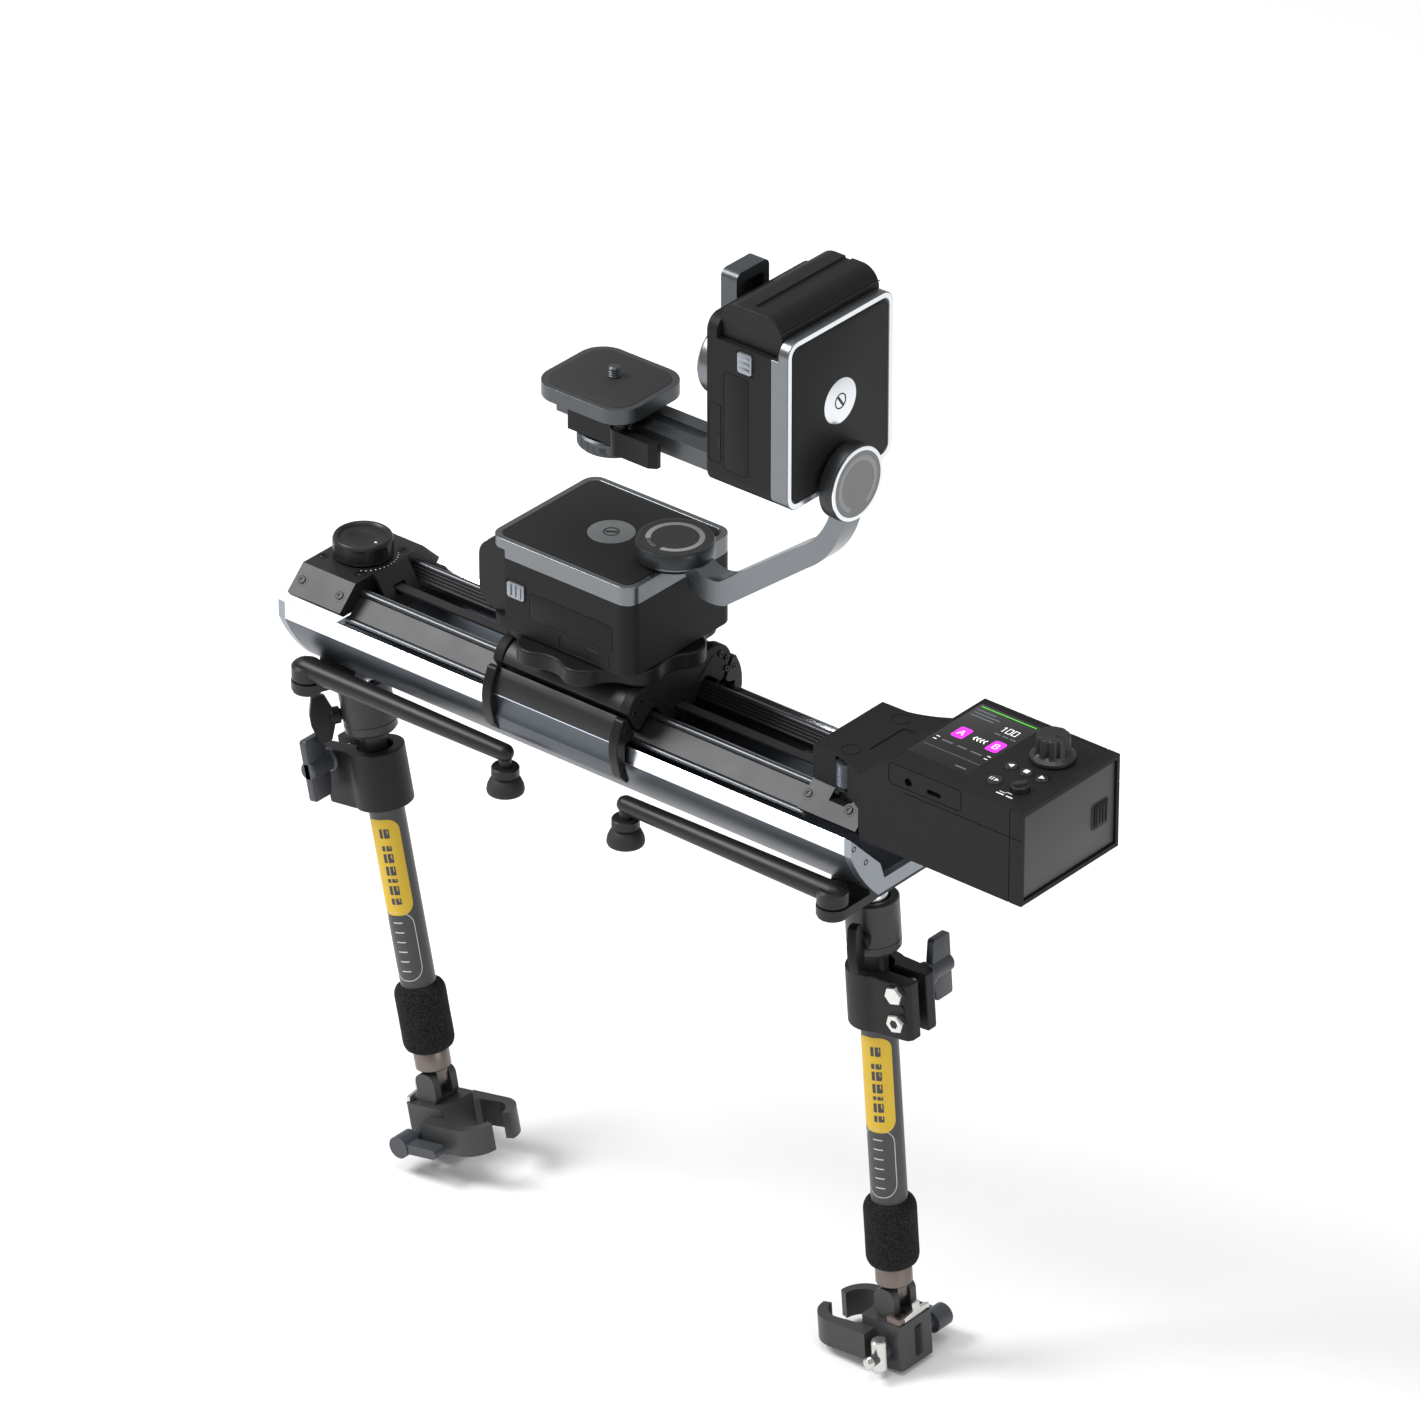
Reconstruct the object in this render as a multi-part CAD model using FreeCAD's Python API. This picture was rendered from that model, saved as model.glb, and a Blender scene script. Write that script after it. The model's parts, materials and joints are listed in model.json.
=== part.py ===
import FreeCAD, Part
import math
import os

# Double-distance camera slider: a base rail held on a tripod, an upper rail that slides over it,
# a carriage that slides along the upper rail at the same rate, a motor drive, a pan and tilt head,
# four fold-out legs and two telescopic support rods.
# Origin: mouth of the tripod socket under the base rail. +X towards the drive, +Z up. Millimetres.

V = FreeCAD.Vector
X, Y, Z = V(1, 0, 0), V(0, 1, 0), V(0, 0, 1)

# ---- driving dimensions ----
RAIL_HALF = 190.0           # half length of the base rail over its end plates
PLATE = 4.3                 # thickness of a base rail end plate
RAIL_TOP = 41.0             # top of the base rail's guide tubes
UPPER_LEFT, UPPER_RIGHT = -186.0, 190.5     # outer faces of the upper rail's end blocks
BEAM_LEFT, BEAM_RIGHT = -150.0, 153.5       # inner faces of the end blocks
ROD_R = 1.9                 # guide rods of the upper rail
ROD_LOW, ROD_HIGH = (33.2, 39.6), (20.9, 50.0)
BELT_Z, BELT_T, BELT_W = 40.5, 1.4, 6.0
PULLEY_R = 5.8
SHAFT_R, RUNNING_GAP = 2.0, 0.05
CARRIAGE_HALF, CAP = 45.0, 6.0              # carriage and grip: half length, end cap thickness
LEG_PIVOT = (175.0, 37.0)
LEG_Z, LEG_REACH = 3.6, 134.7
LEG_R, LEG_TIP_R = 6.0, 4.7
LEG_PIN_R = 3.0
BALL_R, BALL_X, BALL_Z = 8.9, 170.0, -17.0
LEFT_LEAN, RIGHT_LEAN = -11.7, -4.4          # support rods' lean about Y
MODULE_X, MODULE_Y = 46.5, 40.7             # pan and tilt modules, half sizes of the face
MODULE_CORNER = 8.0
PAN_LOW, PAN_BAND, PAN_TOP = 79.6, 119.9, 130.5
BATTERY_LOW, BATTERY_HIGH = 86.0, 124.4     # battery across the pan module's back
BAY_X = -35.9               # floor of the battery's bay
LATCH_X = -28.2             # middle of the battery latch
TILT_BACK = 96.7            # back of the tilt module
TILT_Z = 256.4              # height of the tilt axis
HUB_X, HUB_R = 42.0, 20.0   # arm's hub on the pan module
HUB2_Z = 214.1              # arm's hub on the tilt module
BAR_Y, BAR_LOW, BAR_TOP = 12.5, 196.5, 206.5
CLAMP_X = 2.5               # camera screw's axis at rest
DRIVE_X0, DRIVE_RAMP, DRIVE_BOX, DRIVE_END = 154.0, 193.0, 209.9, 294.9
DRIVE_LOW, DRIVE_STEP, DRIVE_TOP = 42.2, 77.0, 94.6
DRIVE_HALF, NECK_HALF = 38.6, 27.2
KNOB_X = -168.0             # drag knob's axis
THUMB, THUMB_PIN_R = (174.6, -26.2), 1.5
CONTROLS = {                # x, y and bore radius of each control in the drive's lid
    "encoder_knob": (272.4, 13.8, 8.0),
    "button_back": (261.2, -5.0, 3.6),
    "button_stop": (270.8, -5.0, 3.6),
    "button_forward": (280.4, -5.0, 3.6),
    "button_start": (263.5, -20.8, 4.2),
    "mode_dial": (279.0, -20.4, 4.5),
}
WINGS = {"left": 50.0, "right": -72.0}     # bearing of each head's wing knob in the rod's own frame
WING_DROP = 17.0


# ---- helpers ----
def box(x0, x1, y0, y1, z0, z1):
    return Part.makeBox(x1 - x0, y1 - y0, z1 - z0, V(x0, y0, z0))


def cylinder(base, axis, radius, height):
    return Part.makeCylinder(radius, height, V(*base), axis)


def face_of(points, place):
    """A flat face; a point of two numbers ends a straight run, one of four is an arc's middle and end."""
    edges, here = [], points[0][-2:]
    for point in list(points[1:]) + [points[0][-2:]]:
        end = point[-2:]
        if len(point) == 4:
            edges.append(Part.Arc(place(*here), place(*point[:2]), place(*end)).toShape())
        elif math.dist(here, end) > 1e-6:
            edges.append(Part.makeLine(place(*here), place(*end)))
        here = end
    return Part.Face(Part.Wire(edges))


def along_x(points, x0, x1):
    return face_of(points, lambda y, z: V(x0, y, z)).extrude(V(x1 - x0, 0, 0))


def along_y(points, y0, y1):
    return face_of(points, lambda x, z: V(x, y0, z)).extrude(V(0, y1 - y0, 0))


def along_z(points, z0, z1):
    return face_of(points, lambda x, y: V(x, y, z0)).extrude(V(0, 0, z1 - z0))


def mirror_x(shape):
    return shape.mirror(V(0, 0, 0), X)


def mirror_y(shape):
    return shape.mirror(V(0, 0, 0), Y)


def whole(half):
    """A body from its half on the +Y side."""
    return half.fuse(mirror_y(half)).removeSplitter()


def both(half):
    return [half, mirror_y(half)]


def edges_along(shape, axis, length=0.0):
    """Straight edges that run along an axis, and are at least as long as asked."""
    found = []
    for edge in shape.Edges:
        if isinstance(edge.Curve, Part.Line) and edge.Length > length:
            if abs(abs(edge.Curve.Direction.dot(axis)) - 1) < 1e-6:
                found.append(edge)
    return found


def rounded_box(x0, x1, y0, y1, z0, z1, radius, axis=Z):
    solid = box(x0, x1, y0, y1, z0, z1)
    return solid.makeFillet(radius, edges_along(solid, axis))


def lathe(points, axis=Z, centre=(0, 0, 0)):
    """A turned solid from (radius, height) points, about an axis through the centre."""
    face = face_of(points, lambda r, h: V(r, 0, h))
    solid = face.revolve(V(0, 0, 0), Z, 360)
    turn = FreeCAD.Rotation(Z, axis)
    solid.Placement = FreeCAD.Placement(V(*centre), turn)
    return solid


NODES = {}


def node(name, *solids):
    NODES[name] = list(solids)


# ---- base rail ----
def base_outline(tip):
    """Half section of the boat-shaped rail: flat keel, curved flank, tip, sloped trough wall."""
    return [(0, 0), (19.4, 0), (32.0, 14.6, 41.2, 30.8)] + tip + [(18.0, 17.5), (14.7, 7.9), (0, 7.9)]


def base_rail():
    inner = RAIL_HALF - PLATE
    rail = whole(along_x(base_outline([(38.4, 30.8), (38.4, 37.9)]), -inner, inner))
    rail = rail.cut(box(-32, 32, -15, 15, -1, 5))
    node("base_rail", rail)
    tube = along_x([(38.5, 30.9), (41.4, 30.9), (41.4, 40.2), (41.25, 40.8, 40.6, 40.9), (38.5, 38.6)],
                   -inner, inner)
    node("guide_tubes", *both(tube))
    tip = [(41.4, 30.9), (41.4, RAIL_TOP)]
    plate = whole(along_x(base_outline(tip), inner, RAIL_HALF))
    node("rail_end_plates", plate, mirror_x(plate))


def tripod_plate():
    socket_r, depth = 4.0, 5.0
    plate = rounded_box(-32, 32, -15, 15, 0, depth, 2.0)
    return plate.cut(cylinder((0, 0, -1), Z, socket_r, depth + 2))


def belt_anchor():
    """Post that ties the belt's lower run to the base rail; the belt passes through its eye."""
    low = BELT_Z - PULLEY_R - BELT_T / 2
    post = box(-6, 6, -5, 5, 7.9, low + 3.4)
    eye = box(-7, 7, -BELT_W / 2 - 0.3, BELT_W / 2 + 0.3, low - BELT_T / 2 - 0.3, low + BELT_T / 2 + 0.3)
    return post.cut(eye)


def leg_brackets():
    """Plates under the rail's ends: each carries two leg pivots and one ball stud."""
    px, py = LEG_PIVOT
    boss_r, low, top = 8.5, -8.0, -2.8
    arm = along_z([(px - boss_r, -py), (px, -py - boss_r, px + boss_r, -py), (px + boss_r, py),
                   (px, py + boss_r, px - boss_r, py), (px - boss_r - 8, 18), (px - boss_r - 8, -18)],
                  low, top)
    pad = box(px - boss_r - 8, px + boss_r, -18, 18, top, 0)
    bracket = arm.fuse(pad).removeSplitter()
    for side in (-1, 1):
        bracket = bracket.fuse(cylinder((px, side * py, top - 6.5), Z, boss_r - 0.6, 6.5))
        bracket = bracket.fuse(cylinder((px, side * py, top), Z, LEG_PIN_R, 7.6))
    node("leg_brackets", bracket, mirror_x(bracket))
    stud = Part.makeSphere(BALL_R, V(BALL_X, 0, BALL_Z)).fuse(cylinder((BALL_X, 0, BALL_Z), Z, 4.0, 9.0))
    node("ball_studs", stud, mirror_x(stud))


def legs():
    """Round bars that fold under the rail; each ends in a knurled collar and a rubber foot."""
    px, py = LEG_PIVOT
    tip = px - LEG_REACH
    bar = Part.makeCone(LEG_TIP_R, LEG_R, LEG_REACH, V(tip, py, LEG_Z), X)
    bar = bar.fuse(Part.makeSphere(LEG_TIP_R, V(tip, py, LEG_Z)))
    bar = bar.fuse(cylinder((px, py, LEG_Z - LEG_R), Z, 8.2, 2 * LEG_R - 1.5))
    bar = bar.cut(cylinder((px, py, LEG_Z - LEG_R - 1), Z, LEG_PIN_R + RUNNING_GAP, 2 * LEG_R - 1.5))
    bar = bar.fuse(cylinder((tip, py, LEG_Z - LEG_R - 1.5), Z, 3.0, LEG_R))
    collar = cylinder((tip, py, -9.6), Z, 7.3, 5.6)
    foot = lathe([(0, -19.2), (9.9, -19.2), (9.3, -13.5, 6.4, -9.7), (0, -9.7)], centre=(tip, py, 0))
    right = [bar, collar, foot]
    for side, turn in (("right", lambda s: s), ("left", mirror_x)):
        node("leg_rear_" + side, *[turn(s) for s in right])
        node("leg_front_" + side, *[turn(mirror_y(s)) for s in right])


# ---- upper rail ----
def upper_rail():
    beam = along_x([ROD_LOW, ROD_HIGH, (19.2, 51.6), (14.6, 45.0), (15.4, 42.2), (28.6, 36.6)],
                   BEAM_LEFT, BEAM_RIGHT)
    length = BEAM_RIGHT - BEAM_LEFT
    rods = [cylinder((BEAM_LEFT, y, z), X, ROD_R, length) for y, z in (ROD_LOW, ROD_HIGH)]
    for y, z in (ROD_LOW, ROD_HIGH):
        beam = beam.cut(cylinder((BEAM_LEFT, y, z), X, ROD_R + 0.02, length))
    slope = V(0, 14.6 - 19.2, 45.0 - 51.6).normalize()
    for step in range(4):
        at = V(BEAM_LEFT, 19.2, 51.6) + slope * (1.4 + 1.7 * step)
        groove = box(BEAM_LEFT, BEAM_RIGHT, at.y - 0.4, at.y + 0.4, at.z - 0.4, at.z + 0.4)
        beam = beam.cut(groove)
    node("upper_beams", *both(beam))
    node("guide_rods", *[s for rod in rods for s in both(rod)])


def end_block(inner, outer):
    """Block at the end of the upper rail, with a keel and a slot for the belt pulley."""
    low, high = min(inner, outer), max(inner, outer)
    half = along_x([(0, 57.6), (26.2, 57.6), (38.75, 45.5), (36.2, 42.4), (14, 42.4), (13, 34.5), (0, 34.5)],
                   low, high)
    block = whole(half)
    centre = pulley_x(inner)
    reach = PULLEY_R + BELT_T + 1.2
    far = centre - reach if inner < 0 else centre + reach
    slot = box(min(inner, far), max(inner, far), -4.4, 4.4, 30, BELT_Z + PULLEY_R + BELT_T + 0.8)
    block = block.cut(slot)
    return block.cut(cylinder((centre, -20, BELT_Z), Y, SHAFT_R + RUNNING_GAP, 40))


def pulley_x(inner):
    return inner + math.copysign(15.0, inner)


def end_blocks():
    left = end_block(BEAM_LEFT, UPPER_LEFT)
    right = end_block(BEAM_RIGHT, UPPER_RIGHT)
    ramp = [(0, 57.4), (1.2, 57.4), (13.0, 38.6), (10.6, 38.6), (0, 54.6)]
    guard = along_y([(BEAM_LEFT + dx, z) for dx, z in ramp], -12.5, 12.5)
    guard = guard.cut(box(BEAM_LEFT, BEAM_LEFT + 14, -4.4, 4.4, 44.6, 49.4))
    left = left.fuse(guard).removeSplitter()
    node("end_block_left", left.cut(cylinder((KNOB_X, 0, 50), Z, 4.0 + RUNNING_GAP, 20)))
    node("end_block_right", right.cut(box(168, 181, -38, -25.9, 52, 60)))


def drag_knob():
    """Drag adjuster on the left end block, turned from bar with a dished top."""
    low = 57.9
    knob = lathe([(0, low), (14.6, low), (15.8, low + 1.2), (15.8, low + 9.6), (14.2, low + 11.2),
                  (12.2, low + 11.2), (11.4, low + 9.6), (8.5, low + 9.6), (0, low + 8.2)],
                 centre=(KNOB_X, 0, 0))
    node("drag_knob", knob.fuse(cylinder((KNOB_X, 0, low - 6), Z, 4.0, 7)).removeSplitter())


def belt_drive():
    """Toothed belt loop along the upper rail, on two pulleys with turned shafts."""
    xa, xb = pulley_x(BEAM_LEFT), pulley_x(BEAM_RIGHT)

    def loop(radius, width):
        low, high = BELT_Z - radius, BELT_Z + radius
        return along_y([(xa, low), (xb, low), (xb + radius, BELT_Z, xb, high), (xa, high),
                        (xa - radius, BELT_Z, xa, low)], -width / 2, width / 2)
    node("drive_belt", loop(PULLEY_R + BELT_T, BELT_W).cut(loop(PULLEY_R + 0.04, BELT_W + 2)))
    for name, x in (("idler_pulley", xa), ("drive_pulley", xb)):
        wheel = cylinder((x, -4.0, BELT_Z), Y, PULLEY_R, 8.0)
        node(name, wheel.fuse(cylinder((x, -12.0, BELT_Z), Y, SHAFT_R, 24.0)).removeSplitter())


def grip():
    """Sleeve around the base rail, fixed under the middle of the upper rail."""
    half = CARRIAGE_HALF - CAP
    core = along_x([(7.5, 10.0), (13.0, 10.0), (16.2, 18.2), (38.6, 40.8), (40.2, 42.3), (43.4, 42.3),
                    (43.4, 46.0), (37.2, 44.0), (34.4, 38.2), (28.6, 36.4), (21.0, 39.4), (12.0, 36.0),
                    (7.5, 32.0)], -half, half)
    core = core.cut(cylinder((-half, *ROD_LOW), X, ROD_R + RUNNING_GAP, 2 * half))
    node("grip_core", *both(core))
    shell = along_x([(40.9, 55.7), (43.6, 52.2), (47.2, 37.2, 43.0, 21.6), (41.6, 19.9, 39.8, 21.2),
                     (40.6, 24.0), (42.9, 31.0), (42.9, 42.2), (43.5, 42.3), (43.5, 46.2), (36.4, 47.2)],
                    -half, half)
    node("grip_shells", *both(shell))
    cap = along_x([(41.0, 56.0), (43.6, 56.6, 45.2, 54.6), (49.2, 42.0, 48.5, 33.9), (46.4, 25.0),
                   (41.4, 19.4), (39.4, 20.4), (40.6, 24.0), (42.9, 31.0), (42.9, 42.2), (37.4, 43.4),
                   (35.4, 45.6)], half, CARRIAGE_HALF)
    node("grip_end_caps", *both(cap), *both(mirror_x(cap)))


# ---- drive ----
def drive_cuts():
    """Seams between the housing's mouldings, the side hatch and its two sockets."""
    seam, y = 0.45, DRIVE_HALF
    hatch = rounded_box(211, 257, -y - 1, -y + seam, 81.6, 93.8, 2.5, Y)
    hatch = hatch.cut(rounded_box(211 + seam, 257 - seam, -y - 1, -y + 1, 81.6 + seam, 93.8 - seam, 2.1, Y))
    jack = cylinder((223.5, -y - 1, 86.0), Y, 2.3, 3.6)
    usb = rounded_box(235.2, 244.2, -y - 1, -y + 2.6, 84.2, 87.0, 1.35, Y)
    low = box(221, DRIVE_END + 1, -y - 1, y + 1, 79.0, 79.0 + seam)
    low = low.cut(box(210, DRIVE_END + 2, -y + seam, y - seam, 78, 81))
    rear = box(DRIVE_END - 8, DRIVE_END - 8 + seam, -y - 1, y + 1, 42, 96)
    rear = rear.cut(box(280, 292, -y + seam, y - seam, 40, DRIVE_TOP - seam))
    slot = rounded_box(178.5, 187.0, -14, 14, DRIVE_STEP - 0.5, DRIVE_STEP + 1, 2.0)
    marks = []
    for side in (-1, 1):
        ring = cylinder((172, side * 19.5, DRIVE_STEP - 0.3), Z, 5.2, 2)
        marks.append(ring.cut(cylinder((172, side * 19.5, DRIVE_STEP - 1), Z, 4.6, 4)))
    return [hatch, jack, usb, low, rear, slot] + marks


def drive():
    """Motor housing on the right end block: a low neck, a ramp and the control box."""
    side = [(DRIVE_X0, NECK_HALF), (170, NECK_HALF + 0.3), (182, NECK_HALF + 4.6, DRIVE_RAMP, DRIVE_HALF),
            (DRIVE_END, DRIVE_HALF)]
    half = along_z([(DRIVE_X0, 0)] + side + [(DRIVE_END, 0)], DRIVE_LOW, DRIVE_TOP)
    profile = along_y([(DRIVE_X0, 57.8), (DRIVE_X0, DRIVE_STEP), (DRIVE_RAMP - 2, DRIVE_STEP),
                       (DRIVE_BOX, DRIVE_TOP), (DRIVE_END, DRIVE_TOP), (DRIVE_END, DRIVE_LOW),
                       (UPPER_RIGHT + 0.1, DRIVE_LOW), (UPPER_RIGHT + 0.1, 57.8)], -50, 50)
    body = whole(half).common(profile)
    body = body.fuse(along_x([(-16, DRIVE_LOW), (-10, 34.0), (10, 34.0), (16, DRIVE_LOW)],
                             UPPER_RIGHT + 0.1, 268.0)).removeSplitter()
    cavity = box(212.0, 287.0, -35.6, 35.6, 45.0, DRIVE_TOP - 2.2)
    lid = rounded_box(211.5, 288.5, -36.6, 36.6, DRIVE_TOP - 2.2, DRIVE_TOP, 2.0)
    window = box(168.6, 180.6, -30.2, -20.0, 59.5, 75.9)
    recess = box(291.6, DRIVE_END + 1, -36.4, 36.4, 44.6, 92.2)
    body = body.cut(cavity).cut(lid).cut(window).cut(recess)
    for cut in drive_cuts():
        body = body.cut(cut)
    body = body.fuse(cylinder((THUMB[0], THUMB[1], 59.0), Z, THUMB_PIN_R, 17.4)).removeSplitter()
    for x, y, r in CONTROLS.values():
        lid = lid.cut(cylinder((x, y, DRIVE_TOP - 4), Z, r + 0.3, 6))
    node("drive_housing", body)
    node("drive_top_cover", lid)


def controls():
    for name, (x, y, r) in CONTROLS.items():
        low = DRIVE_TOP - 3.0
        if name.startswith("button"):
            cap = cylinder((x, y, low - 2.4), Z, r, 6.0)
            node(name, cap.fuse(cylinder((x, y, low - 4.0), Z, r + 0.8, 1.6)).removeSplitter())
        elif name == "mode_dial":
            dial = cylinder((x, y, low - 1.0), Z, r, 7.0)
            node(name, dial)
        else:
            top = DRIVE_TOP + 14.0
            skirt = lathe([(0, low - 2.0), (r, low - 2.0), (r, DRIVE_TOP + 0.6), (11.8, DRIVE_TOP + 0.6),
                           (11.8, DRIVE_TOP + 3.4), (8.6, DRIVE_TOP + 5.0), (8.2, top - 1.0),
                           (7.2, top), (0, top)], centre=(x, y, 0))
            node(name, skirt)
    wheel = cylinder((THUMB[0], THUMB[1], 61.0), Z, 5.4, 13.6)
    node("thumbwheel", wheel.cut(cylinder((THUMB[0], THUMB[1], 60.0), Z, THUMB_PIN_R + RUNNING_GAP, 16)))


# ---- carriage ----
def carriage():
    half = CARRIAGE_HALF - CAP
    plate = box(-half, half, -26.3, 26.3, 63.0, 69.0)
    lug = box(-8, 8, -7.5, 7.5, 43.0, 63.0)
    high = BELT_Z + PULLEY_R + BELT_T / 2
    eye = box(-9, 9, -BELT_W / 2 - 0.3, BELT_W / 2 + 0.3, high - BELT_T / 2 - 0.3, high + BELT_T / 2 + 0.3)
    spindle = cylinder((0, 0, 69.0), Z, 12.0, 10.3)
    node("carriage_plate", plate.fuse(lug).cut(eye).fuse(spindle).removeSplitter())
    cover = along_x([(26.4, 67.6), (34.6, 65.1, 39.7, 58.4), (33.5, 47.4), (31.5, 47.0), (24.5, 53.4),
                     (24.5, 62.9), (26.4, 62.9)], -half, half)
    node("carriage_covers", *both(cover))
    cap = along_x([(0, 69.0), (27.0, 69.0), (35.5, 66.0, 40.2, 58.4), (33.7, 46.9), (31.4, 46.3),
                   (23.4, 53.2), (20.2, 54.4), (17.8, 52.6), (13.2, 45.6), (12.0, 43.4), (0, 39.8)],
                  half, CARRIAGE_HALF)
    cap = whole(cap).cut(box(half - 1, CARRIAGE_HALF + 1, -4.0, 4.0, high - 1.6, high + 1.6))
    node("carriage_end_plates", cap, mirror_x(cap))


# ---- pan and tilt head ----
def wavy_ring(outer, dip, lobes, inner, low, high):
    """Finger-grip ring: an outline of rounded lobes around a bore."""
    steps = 2 * lobes
    points = []
    for k in range(steps):
        angle = 2 * math.pi * k / steps
        mid = angle + math.pi / steps
        end = 2 * math.pi * (k + 1) / steps
        r_mid = outer if k % 2 == 0 else outer - dip
        r_end = outer - dip / 2
        if not points:
            points.append((r_end * math.cos(angle), r_end * math.sin(angle)))
        points.append((r_mid * math.cos(mid), r_mid * math.sin(mid), r_end * math.cos(end), r_end * math.sin(end)))
    ring = along_z(points, low, high)
    return ring.cut(cylinder((0, 0, low - 1), Z, inner, high - low + 2))


def module(x0, x1, low, band, top):
    """Motor module standing on its back: a moulded shell and a metal band round its face."""
    shell = rounded_box(x0, x1, -MODULE_Y, MODULE_Y, low, band, MODULE_CORNER)
    face = -MODULE_Y
    label = rounded_box(-19.6, 35, face - 1, face + 0.35, low + 10.6, low + 26.4, 2.0, Y)
    port = rounded_box(0, 33, face - 1, face + 0.35, low + 1.0, low + 9.0, 2.0, Y)
    port = port.cut(rounded_box(0.4, 32.6, face - 2, face + 1, low + 1.4, low + 8.6, 1.7, Y))
    latch = rounded_box(LATCH_X - 6.4, LATCH_X + 6.4, face - 1, face + 0.8, low + 19.2, low + 29.4, 2.0, Y)
    bay = box(x0 - 1, BAY_X, face - 1, MODULE_Y + 1, BATTERY_LOW - 0.2, BATTERY_HIGH + 0.2)
    shell = shell.cut(label).cut(port).cut(latch).cut(bay)
    rim = rounded_box(x0, x1, -MODULE_Y, MODULE_Y, band, top, MODULE_CORNER)
    tray = rounded_box(x0 + 3.4, x1 - 3.4, -MODULE_Y + 3.4, MODULE_Y - 3.4, top - 0.8, top + 1, MODULE_CORNER - 3)
    return shell, rim.cut(tray).cut(bay)


def battery():
    """Camcorder battery in the module's bay: 74.8 long, 38.4 high and 20.2 thick."""
    low, high = BATTERY_LOW, BATTERY_HIGH
    outer, inner, shoulder = -56.2, BAY_X - 0.1, 10.5
    bend = shoulder * (1 - math.sqrt(0.5))
    section = [(inner, low), (inner, high), (outer + shoulder, high),
               (outer + bend, high - bend, outer, high - shoulder), (outer, low + shoulder),
               (outer + bend, low + bend, outer + shoulder, low)]
    pack = along_y(section, -37.4, 37.4)
    middle = (low + high) / 2
    return pack.cut(box(outer - 1, outer + 1.2, -32, 38, middle - 2.0, middle + 2.0))


def pan_unit():
    node("pan_base_knob", wavy_ring(53.5, 6.5, 9, 12.0 + 0.06, 69.4, 78.9))
    shell, rim = module(-MODULE_X, MODULE_X, PAN_LOW, PAN_BAND, PAN_TOP)
    node("pan_body", shell.cut(cylinder((0, 0, PAN_LOW - 1), Z, 6.0, 2)))
    node("pan_rim", rim)
    node("pan_battery", battery())


def to_tilt(shape):
    """The pan module's shape, turned about Y to stand up with its face at +X and its battery on top."""
    turned = shape.copy()
    turned.Placement = FreeCAD.Placement(V(TILT_BACK - PAN_LOW, 0, TILT_Z), FreeCAD.Rotation(Y, 90))
    return turned


def tilt_unit():
    shell, rim = module(-MODULE_X, MODULE_X, PAN_LOW, PAN_BAND, PAN_TOP)
    node("tilt_body", to_tilt(shell))
    node("tilt_rim", to_tilt(rim))
    node("tilt_battery", to_tilt(battery()))


def tilt_arm():
    """Bent bar from the pan module's face to the tilt module's face, with a disc hub at each end."""
    outline = [(42, 130.8), (53.6, 130.8), (56.6, 121.6), (66, 118.2, 80, 119.6), (133, 160.4),
               (150.5, 179.5, 156.6, 200.0), (156.6, 212.0), (149.0, 212.0), (149.0, 206.0),
               (142, 185.0, 124.4, 168.6), (77, 132.6), (66, 131.8, 57, 138.0), (50, 140.4), (42, 140.4)]
    bar = along_y(outline, -7.0, 7.0)
    hub = lathe([(0, 130.8), (17.5, 130.8), (HUB_R, 133.6), (HUB_R, 141.0), (18.6, 142.4), (0, 142.4)],
                centre=(HUB_X, 0, 0))
    hub2 = lathe([(0, 148.6), (17.5, 148.6), (HUB_R, 151.4), (HUB_R, 157.6), (18.6, 158.9), (0, 158.9)],
                 axis=X, centre=(0, 0, HUB2_Z))
    node("tilt_arm", bar.fuse(hub).fuse(hub2).removeSplitter())


def camera_bracket():
    upright = rounded_box(82, 92, -BAR_Y, BAR_Y, BAR_LOW, 312, 4.0, X)
    bar = box(-25, 82, -BAR_Y, BAR_Y, BAR_LOW, BAR_TOP)
    bar = bar.cut(box(-19, 62, -3.6, 3.6, BAR_LOW - 1, BAR_TOP + 1))
    upright = upright.cut(rounded_box(87, 93, -8.5, 8.5, 276, 306, 3.0, X))
    spigot = cylinder((92, 0, TILT_Z), X, 14.0, TILT_BACK - 92 - 0.4)
    pin = cylinder((70, 0, TILT_Z), X, 4.0, 14)
    bracket = upright.fuse(bar).fuse(spigot).fuse(pin).removeSplitter()
    node("camera_bracket", bracket)
    ring = lathe([(4.0 + RUNNING_GAP, 71), (17.6, 71), (19.8, 73.2), (19.8, 79.5), (18.4, 81.7),
                  (4.0 + RUNNING_GAP, 81.7)], axis=X, centre=(0, 0, TILT_Z))
    node("bracket_knob", ring)


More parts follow.
